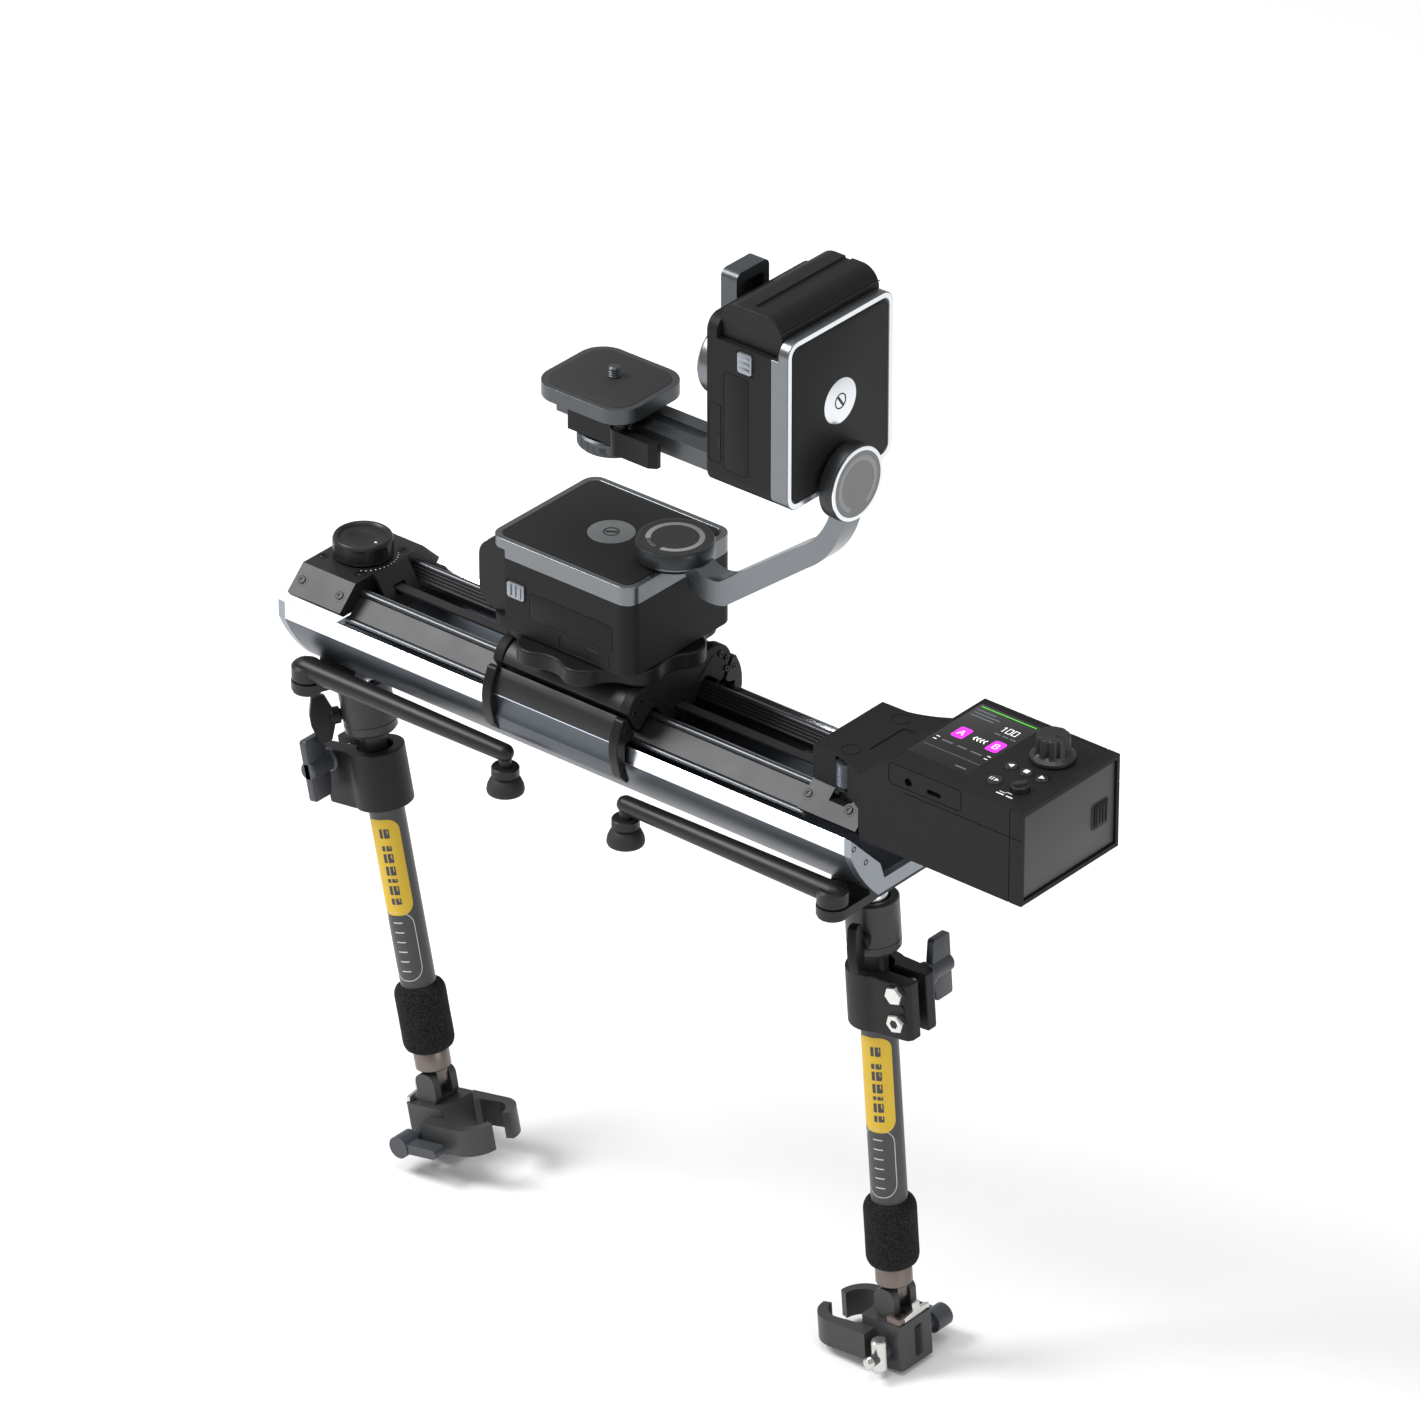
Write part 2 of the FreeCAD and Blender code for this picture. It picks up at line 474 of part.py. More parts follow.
def camera_clamp():
    """Quick clamp on the bracket's bar: saddle, camera plate, side lever and camera screw."""
    x, gap = CLAMP_X, 0.3
    saddle = box(x - 16, x + 16, -17.5, 17.5, 192.2, 212.0)
    saddle = saddle.cut(box(x - 17, x + 17, -BAR_Y - gap, BAR_Y + gap, BAR_LOW - gap, BAR_TOP + gap))
    plate = rounded_box(x - 30, x + 30, -30, 24, 212.0, 220.0, 14.0)
    neck_r, stud_r = 2.6, 3.175
    clamp = saddle.fuse(plate).removeSplitter()
    ear = rounded_box(x + 13, x + 26, -24.5, -14.0, 209.0, 212.0, 3.0)
    pivot = cylinder((x + 20, -20.0, 190.8), Z, 2.0, 20)
    clamp = clamp.fuse(ear).fuse(pivot).removeSplitter()
    clamp = clamp.cut(cylinder((x, 0, 180), Z, stud_r + 0.2, 60))
    node("camera_clamp", clamp)
    lever = cylinder((x + 20, -20.0, 192.0), Z, 4.4, 14.5)
    lever = lever.fuse(along_z([(x + 20, -24.0), (x + 42, -24.0), (x + 46, -21.5), (x + 46, -18.8),
                                (x + 20, -17.9)], 192.4, 206.0))
    node("clamp_lever", lever.cut(cylinder((x + 20, -20.0, 190), Z, 2.0 + RUNNING_GAP, 30)).removeSplitter())
    wheel = lathe([(0, 183.2), (17.6, 183.2), (19.0, 184.6), (19.0, 190.2), (18.0, 191.6), (neck_r, 191.6),
                   (neck_r, 220.2), (stud_r, 220.2), (stud_r, 226.0), (0, 226.0)], centre=(x, 0, 0))
    node("camera_screw", wheel)


# ---- support rods ----
def place_support(shape, side):
    """From the ball's own frame (rod along -Z) to the rod's lean under its end of the rail."""
    lean, x, turn = (LEFT_LEAN, -BALL_X, 180.0) if side == "left" else (RIGHT_LEAN, BALL_X, 0.0)
    moved = shape.copy()
    spin = FreeCAD.Rotation(Z, turn)
    tilt = FreeCAD.Rotation(Y, lean)
    moved.Placement = FreeCAD.Placement(V(x, 0, BALL_Z), tilt.multiply(spin)).multiply(moved.Placement)
    return moved


def wing(length, tall, thick, stem_r, stem):
    """Wing knob on an axis along +Y: a stem, a barrel and two flat wings that flare outwards."""
    barrel = cylinder((0, stem, 0), Y, 6.0, length)
    half, waist = tall / 2, tall / 4
    outline = [(stem + 3, -waist), (stem + length - 4, -half), (stem + length, -half + 3),
               (stem + length - 1, 0, stem + length, half - 3), (stem + length - 4, half), (stem + 3, waist)]
    blade = face_of(outline, lambda y, z: V(-thick / 2, y, z)).extrude(V(thick, 0, 0))
    return barrel.fuse(blade).fuse(cylinder((0, 0, 0), Y, stem_r, stem + 1)).removeSplitter()


def supports():
    for side in ("left", "right"):
        def add(name, *solids):
            node(name + "_" + side, *[place_support(s, side) for s in solids])
        gap = 0.06
        housing = cylinder((0, 0, -29), Z, 14.1, 29.5)
        housing = housing.cut(Part.makeSphere(BALL_R + gap, V(0, 0, 0)))
        bearing = math.radians(WINGS[side])
        out = V(math.cos(bearing), math.sin(bearing), 0)
        hole_at = out * 9.2 - Z * WING_DROP
        housing = housing.cut(cylinder(hole_at, out, 3.0 + RUNNING_GAP, 8))
        neck = cylinder((0, 0, -200), Z, 6.7, 171)
        add("support_head", housing, neck)
        knob = wing(13, 25, 5, 3.0, 6.5)
        knob.rotate(V(0, 0, 0), Z, WINGS[side] - 90)
        knob.translate(out * 10.2 - Z * WING_DROP)
        add("head_knob", knob)

        tube = cylinder((0, 0, -212), Z, 9.5, 160).cut(cylinder((0, 0, -206), Z, 6.7 + gap, 160))
        ferrule = cylinder((0, 0, -223), Z, 9.6, 10.9)
        tongue = rounded_box(-5.5, 5.5, -4.0, 4.0, -236, -223, 5.0, Y)
        ferrule = ferrule.fuse(tongue).removeSplitter().cut(cylinder((0, -5, -230.4), Y, 2.0 + RUNNING_GAP, 10))
        collar = lathe([(9.55, -70), (15.0, -70), (16.2, -67), (15.2, -40), (13.6, -38), (9.55, -38)])
        ears = rounded_box(9.0, 30.0, -11.0, 11.0, -68, -38, 4.0, Y)
        ears = ears.cut(box(8, 31, -3.0, 3.0, -80, -30))
        ears = ears.cut(cylinder((0, 0, -80), Z, 9.55, 50))
        collar = collar.fuse(ears).removeSplitter()
        bolt_x, bolt_z = 22.0, -44.0
        collar = collar.cut(cylinder((bolt_x, -12, bolt_z), Y, 2.5 + RUNNING_GAP, 24))
        add("support_tube", tube, ferrule, collar)
        star = wing(13, 35, 6, 2.5, 6)
        star.translate(V(bolt_x, 11.3, bolt_z))
        bolt = cylinder((bolt_x, -13.5, bolt_z), Y, 2.5, 26).fuse(cylinder((bolt_x, -14.6, bolt_z), Y, 5.4, 3.4))
        add("collar_knob", star.fuse(bolt).removeSplitter())
        foam = lathe([(9.55, -212), (12.5, -212), (14.0, -210), (14.0, -176), (12.5, -174), (9.55, -174)])
        add("foam_grip", foam)

        block = rounded_box(-13, 13, -13, 13, -267, -241, 2.0)
        lugs = rounded_box(-6.5, 6.5, -9.0, 9.0, -242, -224.4, 5.0, Y)
        lugs = lugs.cut(box(-8, 8, -4.3, 4.3, -238.5, -222))
        pin = cylinder((0, -9.0, -230.4), Y, 2.0, 18)
        hook = along_z([(-4, 10), (-4, 21.5), (-27, 21.5), (-38.0, 17.6, -42.5, 7.0), (-38.3, 5.6),
                        (-35.0, 12.6, -26.5, 15.4), (-15, 14.0), (-12, 10)], -261.0, -246.0)
        block = block.fuse(lugs).fuse(pin).removeSplitter()
        block = block.fuse(hook).fuse(mirror_y(hook))
        block = block.cut(cylinder((4.0, -30, -257), Y, 3.0 + RUNNING_GAP, 60)).removeSplitter()
        add("leg_clamp", block)
        screw = cylinder((4.0, -27, -257), Y, 3.0, 52)
        hub = cylinder((4.0, 21.6, -257), Y, 6.2, 11)
        handle = rounded_box(-22, 4, 24, 32, -260, -254.5, 2.5, Y)
        add("clamp_screw", screw.fuse(hub).fuse(handle).removeSplitter())


base_rail()
node("centre_fittings", tripod_plate(), belt_anchor())
leg_brackets()
legs()
upper_rail()
end_blocks()
drag_knob()
belt_drive()
grip()
drive()
controls()
carriage()
pan_unit()
tilt_unit()
tilt_arm()
camera_bracket()
camera_clamp()
supports()

os.makedirs("parts", exist_ok=True)
for name, solids in NODES.items():
    shapes = [piece for solid in solids for piece in solid.Solids]
    for shape in shapes:
        if not shape.isValid() or shape.Volume <= 0:
            print("bad solid in", name)
    result = shapes[0] if len(shapes) == 1 else Part.makeCompound(shapes)
    result.exportStep("parts/" + name + ".step")
    if len(shapes) != len(solids):
        print(name, "has", len(shapes), "solids, from", len(solids))
print(len(NODES), "nodes")
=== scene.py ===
"""The camera slider's looks: every piece is in metres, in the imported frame's own axes."""
import json
import math

import bmesh
import bpy
from mathutils import Matrix, Vector

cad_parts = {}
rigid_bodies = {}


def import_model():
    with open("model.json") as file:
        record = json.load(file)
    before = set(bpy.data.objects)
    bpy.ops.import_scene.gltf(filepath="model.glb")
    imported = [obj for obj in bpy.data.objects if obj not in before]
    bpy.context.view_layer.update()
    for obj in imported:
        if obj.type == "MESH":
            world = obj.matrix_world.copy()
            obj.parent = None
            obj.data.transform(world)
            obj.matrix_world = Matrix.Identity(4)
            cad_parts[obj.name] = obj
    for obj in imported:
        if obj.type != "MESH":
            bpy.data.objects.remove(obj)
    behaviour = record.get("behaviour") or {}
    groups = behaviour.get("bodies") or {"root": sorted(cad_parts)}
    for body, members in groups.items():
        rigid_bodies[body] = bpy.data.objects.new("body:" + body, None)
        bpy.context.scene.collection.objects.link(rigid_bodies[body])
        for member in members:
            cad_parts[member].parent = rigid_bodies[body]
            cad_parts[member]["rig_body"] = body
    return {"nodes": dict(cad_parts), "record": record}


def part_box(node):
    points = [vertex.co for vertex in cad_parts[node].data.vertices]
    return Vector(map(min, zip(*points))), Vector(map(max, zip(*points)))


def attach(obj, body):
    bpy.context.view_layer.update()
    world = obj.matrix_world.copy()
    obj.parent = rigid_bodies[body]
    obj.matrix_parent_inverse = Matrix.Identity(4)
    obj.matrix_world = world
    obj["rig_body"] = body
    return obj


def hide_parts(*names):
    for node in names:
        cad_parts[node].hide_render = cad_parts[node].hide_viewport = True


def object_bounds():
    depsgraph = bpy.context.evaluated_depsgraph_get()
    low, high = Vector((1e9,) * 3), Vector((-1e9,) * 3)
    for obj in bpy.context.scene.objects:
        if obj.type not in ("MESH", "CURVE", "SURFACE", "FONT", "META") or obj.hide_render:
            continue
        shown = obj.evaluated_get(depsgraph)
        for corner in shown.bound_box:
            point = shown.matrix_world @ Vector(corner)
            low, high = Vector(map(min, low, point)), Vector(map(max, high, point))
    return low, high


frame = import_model()
cad_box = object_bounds()
MM = 0.001


# ---------------------------------------------------------------------------------------------
# Studio: a pale flat painted board, three softboxes and a long lens.
# The slider hangs from its tripod socket, so the board lies just under the lowest clamp.
def hex_to_linear(code):
    """An sRGB hex colour as the linear values that a shader takes."""
    parts = [int(code[k:k + 2], 16) / 255 for k in (1, 3, 5)]
    return [p / 12.92 if p <= 0.04045 else ((p + 0.055) / 1.055) ** 2.4 for p in parts] + [1.0]


def add_node(tree, kind, settings=None, links=None):
    """One shader node: settings by property or input, links from input to output socket."""
    made = tree.nodes.new("ShaderNode" + kind)
    for key, value in (settings or {}).items():
        if isinstance(key, int) or key in made.inputs:
            made.inputs[key].default_value = value
        else:
            setattr(made, key, value)
    for key, source in (links or {}).items():
        tree.links.new(source, made.inputs[key])
    return made


def grained(name, colours, rough, grain, depth, metal=0.0, **more):
    """Material with a fine grain (its size and depth in mm), and slow changes of colour and gloss."""
    made = bpy.data.materials.new(name)
    made.use_nodes = True
    tree = made.node_tree
    shader = tree.nodes["Principled BSDF"]
    shader.inputs["Metallic"].default_value = metal
    for key, value in more.items():
        shader.inputs[key.replace("_", " ")].default_value = value
    place = add_node(tree, "TexCoord").outputs["Object"]
    fine = add_node(tree, "TexNoise", {"Scale": 1 / (grain * MM), "Detail": 3.0}, {"Vector": place})
    slow = add_node(tree, "TexNoise", {"Scale": 1 / (18 * MM), "Detail": 4.0}, {"Vector": place})
    tone = add_node(tree, "Mix", {"data_type": "RGBA", 6: hex_to_linear(colours[0]),
                                  7: hex_to_linear(colours[1])}, {0: slow.outputs["Fac"]})
    gloss = add_node(tree, "MapRange", {"To Min": rough[0], "To Max": rough[1]},
                     {"Value": slow.outputs["Fac"]})
    bump = add_node(tree, "Bump", {"Strength": 0.5, "Distance": depth * MM},
                    {"Height": fine.outputs["Fac"]})
    tree.links.new(tone.outputs[2], shader.inputs["Base Color"])
    tree.links.new(gloss.outputs["Result"], shader.inputs["Roughness"])
    tree.links.new(bump.outputs["Normal"], shader.inputs["Normal"])
    return made


def piece_of(shape, name, material, body=None, sharp=30.0, turn_out=True):
    """A bmesh as a finished piece at the origin: smooth faces, crisp edges, riding on its body."""
    limit = math.radians(sharp)
    if turn_out:
        bmesh.ops.recalc_face_normals(shape, faces=shape.faces)
    for face in shape.faces:
        face.smooth = True
    for edge in shape.edges:
        edge.smooth = len(edge.link_faces) == 2 and edge.calc_face_angle(0) <= limit
    data = bpy.data.meshes.new(name)
    shape.to_mesh(data)
    shape.free()
    data.materials.append(material)
    made = bpy.data.objects.new(name, data)
    bpy.context.scene.collection.objects.link(made)
    if body:
        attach(made, body)
    return made


# Matt painted board: even, with no gloss.
painted_board = grained("matt_painted_board", ("#f7f7f7", "#f5f5f5"), (0.9, 0.95), 2.0, 0.01)
board = bmesh.new()
bmesh.ops.create_grid(board, x_segments=1, y_segments=1, size=15.0)
bmesh.ops.translate(board, verts=board.verts, vec=(0, 0, cad_box[0][2] - MM))
piece_of(board, "floor", painted_board)

sky = bpy.data.worlds.new("studio")
bpy.context.scene.world = sky
sky.use_nodes = True
sky.node_tree.nodes["Background"].inputs["Color"].default_value = hex_to_linear("#ffffff")
sky.node_tree.nodes["Background"].inputs["Strength"].default_value = 0.5


def softbox(name, direction, distance, size, watts):
    """A square area lamp that faces the middle of the slider."""
    lamp = bpy.data.lights.new(name, "AREA")
    lamp.size = size
    lamp.energy = watts
    made = bpy.data.objects.new(name, lamp)
    aim = Vector(direction).normalized()
    made.location = aim * distance
    made.rotation_euler = aim.to_track_quat("Z", "Y").to_euler()
    bpy.context.scene.collection.objects.link(made)


softbox("front_left_softbox", (-0.56, -0.42, 0.72), 2.6, 1.1, 62)
softbox("right_softbox", (0.95, -0.10, 0.30), 3.0, 1.4, 20)
softbox("top_softbox", (0.10, -0.10, 1.0), 3.4, 2.0, 52)

lens = bpy.data.cameras.new("long_lens")
lens.lens, lens.sensor_width, lens.clip_end = 270.0, 36.0, 60.0
camera = bpy.data.objects.new("camera", lens)
camera.location = Vector((3037.34, -3553.96, 2732.0)) * MM
camera.rotation_euler = Vector((0.555336, -0.663911, 0.500823)).to_track_quat("Z", "Y").to_euler()
bpy.context.scene.collection.objects.link(camera)
bpy.context.scene.camera = camera
bpy.context.scene.view_settings.view_transform = "Standard"


# ---------------------------------------------------------------------------------------------
# Base rail: an extruded aluminium boat-shaped rail, anodised blue-grey, with hard-chromed steel
# guide tubes along its lips and a cast end plate on each end, held by two socket screws a side.
def softened(node, material, width, angle=30.0, segments=2):
    """A machined part with its edges broken: a merged copy of the plain solid, which it replaces."""
    plain = frame["nodes"][node]
    shape = bmesh.new()
    shape.from_mesh(plain.data)
    bmesh.ops.remove_doubles(shape, verts=shape.verts, dist=0.002 * MM)
    bmesh.ops.dissolve_limit(shape, verts=shape.verts, edges=shape.edges, angle_limit=math.radians(0.6))
    made = piece_of(shape, node + "_finished", material, plain["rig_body"], turn_out=False)
    edges = made.modifiers.new("broken_edges", "BEVEL")
    edges.width, edges.segments, edges.limit_method = width * MM, segments, "ANGLE"
    edges.angle_limit = math.radians(angle)
    edges.harden_normals = True
    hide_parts(node)
    return made


def at(x, y, z):
    """Matrix that moves the origin to a point in mm."""
    return Matrix.Translation(Vector((x, y, z)) * MM)


def aimed(place, normal, up=(0, 0, 1)):
    """Matrix that carries +Z to a surface's normal and the origin to a point in mm."""
    out = Vector(normal).normalized()
    side = Vector(up).cross(out)
    side = side.normalized() if side.length > 1e-4 else Vector((1, 0, 0))
    turn = Matrix((side, out.cross(side), out)).transposed()
    return at(*place) @ turn.to_4x4()


def turned(points, steps=48):
    """A bmesh turned about Z from (radius, height) points in mm; the first and last close it."""
    shape = bmesh.new()
    rim = [shape.verts.new((r * MM, 0, h * MM)) for r, h in points]
    edges = [shape.edges.new(pair) for pair in zip(rim, rim[1:])]
    bmesh.ops.spin(shape, geom=rim + edges, axis=(0, 0, 1), cent=(0, 0, 0), angle=math.tau,
                   steps=steps, use_merge=True)
    bmesh.ops.remove_doubles(shape, verts=shape.verts, dist=0.001 * MM)
    bmesh.ops.recalc_face_normals(shape, faces=shape.faces)
    return shape


def placed(shape, matrix):
    """The same bmesh, moved; it is turned the right way out again if the move mirrors it."""
    bmesh.ops.transform(shape, matrix=matrix, verts=shape.verts)
    if matrix.determinant() < 0:
        bmesh.ops.reverse_faces(shape, faces=shape.faces)
    return shape


def joined(shapes):
    """Several bmeshes as one."""
    whole = bmesh.new()
    for shape in shapes:
        data = bpy.data.meshes.new("joining")
        shape.to_mesh(data)
        shape.free()
        whole.from_mesh(data)
        bpy.data.meshes.remove(data)
    return whole


def socket_screw(radius, height, matrix):
    """Cap screw head: a chamfered drum with a hexagon socket, standing on its seat."""
    shape = bmesh.new()
    outer = bmesh.ops.create_circle(shape, segments=24, radius=radius * 0.86 * MM)["verts"]
    inner = bmesh.ops.create_circle(shape, segments=6, radius=radius * 0.52 * MM)["verts"]
    rims = [{e for v in ring for e in v.link_edges} for ring in (outer, inner)]
    bmesh.ops.bridge_loops(shape, edges=list(rims[0] | rims[1]))
    for rim, scales, drops in ((rims[0], (1 / 0.86, 1.0), (0.14 * radius, height)),
                               (rims[1], (1.0,), (0.7 * height,))):
        loop = list(rim)
        for scale, drop in zip(scales, drops):
            grown = bmesh.ops.extrude_edge_only(shape, edges=loop)["geom"]
            ring = [g for g in grown if isinstance(g, bmesh.types.BMVert)]
            low = ring[0].co.z
            bmesh.ops.scale(shape, verts=ring, vec=(scale, scale, 1.0))
            bmesh.ops.translate(shape, verts=ring, vec=(0, 0, -drop * MM - low))
            loop = [g for g in grown if isinstance(g, bmesh.types.BMEdge)
                    and all(abs(v.co.z - ring[0].co.z) < 1e-7 for v in g.verts)]
        bmesh.ops.edgeloop_fill(shape, edges=loop)
    bmesh.ops.recalc_face_normals(shape, faces=shape.faces)
    bmesh.ops.translate(shape, verts=shape.verts, vec=(0, 0, height * MM))
    return placed(shape, matrix)


SLOTS = {s["node"]: s["material_slot"] for s in frame["record"]["subparts"]}

# Clear-anodised extrusion: satin, with a cold blue cast.
blue_grey_anodised = grained("blue_grey_anodised_aluminium", ("#4c5158", "#545960"), (0.34, 0.42),
                             0.6, 0.012, metal=0.85)
# Hard chrome over ground steel: nearly a mirror.
hard_chrome = grained("hard_chromed_steel", ("#eef1f6", "#e6eaf0"), (0.16, 0.24), 0.8, 0.004, metal=1.0)
# Bead-blasted silver aluminium: bright and soft. On the carriage's edges, thin strips of it are painted
# highlight.
silver_aluminium = grained("bead_blasted_silver_aluminium", ("#8b9096", "#93989e"), (0.30, 0.38),
                           0.5, 0.012, metal=0.95)
# Oxide-blacked steel: dark with a dull sheen. Its rings round the end blocks' screws are painted shade.
black_oxide = grained("black_oxide_steel", ("#111112", "#18181a"), (0.34, 0.46), 0.5, 0.01, metal=0.4)

softened("base_rail", blue_grey_anodised, 0.5)
softened("guide_tubes", hard_chrome, 0.25)
softened("rail_end_plates", silver_aluminium, 0.6)
softened("centre_fittings", blue_grey_anodised, 0.5)
rail_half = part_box("rail_end_plates")[1].x / MM
screws = []
for end in (-1, 1):
    for y, z in ((39.0, 35.2), (29.5, 23.5), (-39.0, 35.2), (-29.5, 23.5)):
        screws.append(socket_screw(1.9, 0.5, aimed((end * (rail_half - 0.45), y, z), (end, 0, 0))))
piece_of(joined(screws), "end_plate_screws", black_oxide, "base")


# ---------------------------------------------------------------------------------------------
# Leg brackets and fold-out legs: cast aluminium plates with a pivot boss at each corner, round
# bars with hemispherical ends, knurled lock collars and flared rubber feet.
def knurled(radius, low, high, columns, rows, depth, smooth_from=2.0):
    """Side of a drum with a diamond knurl; smooth_from is where its plain panels start, of -1 to 1."""
    shape = bmesh.new()
    bmesh.ops.create_cone(shape, cap_ends=False, segments=columns, radius1=radius * MM,
                          radius2=radius * MM, depth=(high - low) * MM)
    upright = [e for e in shape.edges if abs(e.verts[0].co.z - e.verts[1].co.z) > 1e-6]
    bmesh.ops.subdivide_edges(shape, edges=upright, cuts=rows - 1)
    bmesh.ops.translate(shape, verts=shape.verts, vec=(0, 0, (high + low) / 2 * MM))
    step = (high - low) / rows * MM
    for vert in shape.verts:
        column = round(math.atan2(vert.co.y, vert.co.x) / math.tau * columns)
        row = round((vert.co.z - low * MM) / step)
        plain = math.sin(8 * math.atan2(vert.co.y, vert.co.x)) > smooth_from
        if 0 < row < rows and not plain and (column + row) % 2:
            scale = 1 - depth / radius
            vert.co.x *= scale
            vert.co.y *= scale
    return shape


# Black anodised castings and bars: satin, dark, with a soft highlight.
satin_black_anodised = grained("satin_black_anodised_aluminium", ("#1f1f20", "#262627"), (0.34, 0.44),
                               0.6, 0.015, metal=0.3, Specular_IOR_Level=0.35)
# Moulded rubber: matt, a little dusty. Thin dark patches of it are also painted shade in recesses and slots.
moulded_rubber = grained("moulded_black_rubber", ("#151515", "#1d1d1d"), (0.62, 0.78), 0.8, 0.03)

softened("leg_brackets", satin_black_anodised, 0.8)
softened("ball_studs", hard_chrome, 0.2)
leg_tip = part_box("leg_rear_right")[0].x / MM
foot_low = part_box("leg_rear_right")[0].z / MM
PIVOT_X, PIVOT_Y, LEG_Z, LEG_R, LEG_TIP_R, FOOT_R = 175.0, 37.0, 3.6, 6.0, 4.7, 9.9
for end, right in ((-1, "left"), (1, "right")):
    for side, rear in ((-1, "front"), (1, "rear")):
        body, slot = rear + "_" + right + "_leg", SLOTS["leg_rear_right"]
        tip = end * (leg_tip + FOOT_R)
        node = "leg_" + rear + "_" + right
        length = PIVOT_X - abs(tip)
        bar = turned([(0, -4.7), (1.8, -4.3), (3.4, -3.2), (4.4, -1.5), (LEG_TIP_R, 0), (LEG_R, length),
                      (5.7, length + 3.0), (4.4, length + 5.6), (2.4, length + 7.0), (0, length + 7.6)])
        placed(bar, aimed((tip, side * PIVOT_Y, LEG_Z), (end, 0, 0)))
        pivot = turned([(3.05, -5.9), (7.6, -5.9), (8.2, -5.2), (8.2, 1.8), (7.0, 3.2), (0, 3.6)])
        placed(pivot, aimed((end * PIVOT_X, side * PIVOT_Y, LEG_Z), (0, 0, 1)))
        neck = turned([(0, -1.0), (3.4, -1.0), (3.4, -8.0), (0, -8.0)], 24)
        placed(neck, aimed((tip, side * PIVOT_Y, LEG_Z), (0, 0, 1)))
        leg = piece_of(joined([bar, pivot, neck]), node + "_bar", satin_black_anodised, body)
        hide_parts(node)
        drum = joined([knurled(7.3, -8.9, -4.7, 72, 6, 0.22),
                       turned([(0, -9.6), (6.7, -9.6), (7.3, -8.9)]),
                       turned([(7.3, -4.7), (6.7, -4.0), (0, -4.0)])])
        bmesh.ops.remove_doubles(drum, verts=drum.verts, dist=0.002 * MM)
        piece_of(placed(drum, aimed((tip, side * PIVOT_Y, 0), (0, 0, 1))),
                 node + "_collar", satin_black_anodised, body)
        foot = turned([(0, foot_low + 0.6), (8.6, foot_low), (9.6, foot_low + 0.5), (FOOT_R, foot_low + 1.6),
                       (9.5, foot_low + 4.2), (8.3, foot_low + 7.0), (6.7, -10.2), (5.8, -9.7), (0, -9.7)])
        piece_of(placed(foot, aimed((tip, side * PIVOT_Y, 0), (0, 0, 1))), node + "_foot",
                 moulded_rubber, body)


# ---------------------------------------------------------------------------------------------
# Upper rail: two slanted black beams grooved on the inside, each with two ground guide rods,
# bolted between machined end blocks; a toothed belt runs over a pulley in each block.
black_machined = grained("black_anodised_machined_aluminium", ("#1b1b1c", "#222224"), (0.38, 0.48),
                         0.5, 0.012, metal=0.3)
# Neoprene belt: matt black.
neoprene = grained("neoprene_belt", ("#101010", "#171717"), (0.7, 0.8), 0.6, 0.02)
softened("upper_beams", black_machined, 0.2)
# Blackened ground steel: dark, with a narrow sheen along each rod.
blackened_rod = grained("blackened_ground_steel", ("#4a4c4f", "#54565a"), (0.28, 0.36), 0.8, 0.004, metal=0.9)
softened("guide_rods", blackened_rod, 0.15)
softened("end_block_left", black_machined, 0.7)
softened("end_block_right", black_machined, 0.7)
softened("drive_belt", neoprene, 0.1)
softened("idler_pulley", silver_aluminium, 0.2)
softened("drive_pulley", silver_aluminium, 0.2)

left_x, right_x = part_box("end_block_left")[0].x / MM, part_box("end_block_right")[1].x / MM
SLANT = Vector((0, 12.1, 12.55)).normalized()
screws, counterbore_shade_rings = [], []
for side in (-1, 1):
    normal = (0, side * SLANT.y, SLANT.z)
    for x in (left_x + 4.8, left_x + 30.7, right_x - 35.0, right_x - 9.0):
        screws.append(socket_screw(2.2, 0.7, aimed((x, side * 32.45, 51.45), normal)))
        # A dark ring round each screw head: painted shade in its counterbore.
        counterbore_shade_rings.append(placed(turned([(2.5, -0.4), (2.5, 0.12), (3.6, 0.12), (3.6, -0.4), (2.5, -0.4)], 32),
                            aimed((x, side * 32.5, 51.5), normal)))
for x, y in ((left_x + 3.6, -14.5), (left_x + 3.6, 14.5), (left_x + 31.0, -16.3), (left_x + 31.0, 16.3)):
    screws.append(socket_screw(2.0, 0.5, aimed((x, y, 57.45), (0, 0, 1), (0, 1, 0))))
    counterbore_shade_rings.append(placed(turned([(2.3, -0.3), (2.3, 0.1), (3.2, 0.1), (3.2, -0.3), (2.3, -0.3)], 32),
                        aimed((x, y, 57.6), (0, 0, 1), (0, 1, 0))))
piece_of(joined(screws), "end_block_screws", black_oxide, "upper_rail")
# The dark rings are painted shade in the counterbores.
piece_of(joined(counterbore_shade_rings), "end_block_counterbore_shade", black_oxide, "upper_rail")

# Drag knob: turned from bar, with knurled and plain panels, a dished top and a painted tick.
KNOB_X, KNOB_LOW, KNOB_R = -168.0, 57.9, 15.8
drum = joined([knurled(KNOB_R, KNOB_LOW + 1.0, KNOB_LOW + 9.4, 176, 10, 0.42, 0.35),
               turned([(0, KNOB_LOW), (14.8, KNOB_LOW), (KNOB_R, KNOB_LOW + 1.0)], 176),
               turned([(KNOB_R, KNOB_LOW + 9.4), (15.3, KNOB_LOW + 10.6), (14.6, KNOB_LOW + 11.2),
                       (13.4, KNOB_LOW + 11.2), (12.6, KNOB_LOW + 10.6), (12.1, KNOB_LOW + 9.7),
                       (8.9, KNOB_LOW + 9.5), (8.1, KNOB_LOW + 9.1), (6.0, KNOB_LOW + 8.3),
                       (3.0, KNOB_LOW + 7.7), (0, KNOB_LOW + 7.5)], 176)])
bmesh.ops.remove_doubles(drum, verts=drum.verts, dist=0.002 * MM)
knob = piece_of(placed(drum, aimed((KNOB_X, 0, 0), (0, 0, 1))), "drag_knob_turned",
                satin_black_anodised, "drag_control")
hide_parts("drag_knob")

# Screen-printed enamel: flat white.
white_print = grained("white_screen_print", ("#e8e8e8", "#dedede"), (0.5, 0.6), 0.8, 0.005)


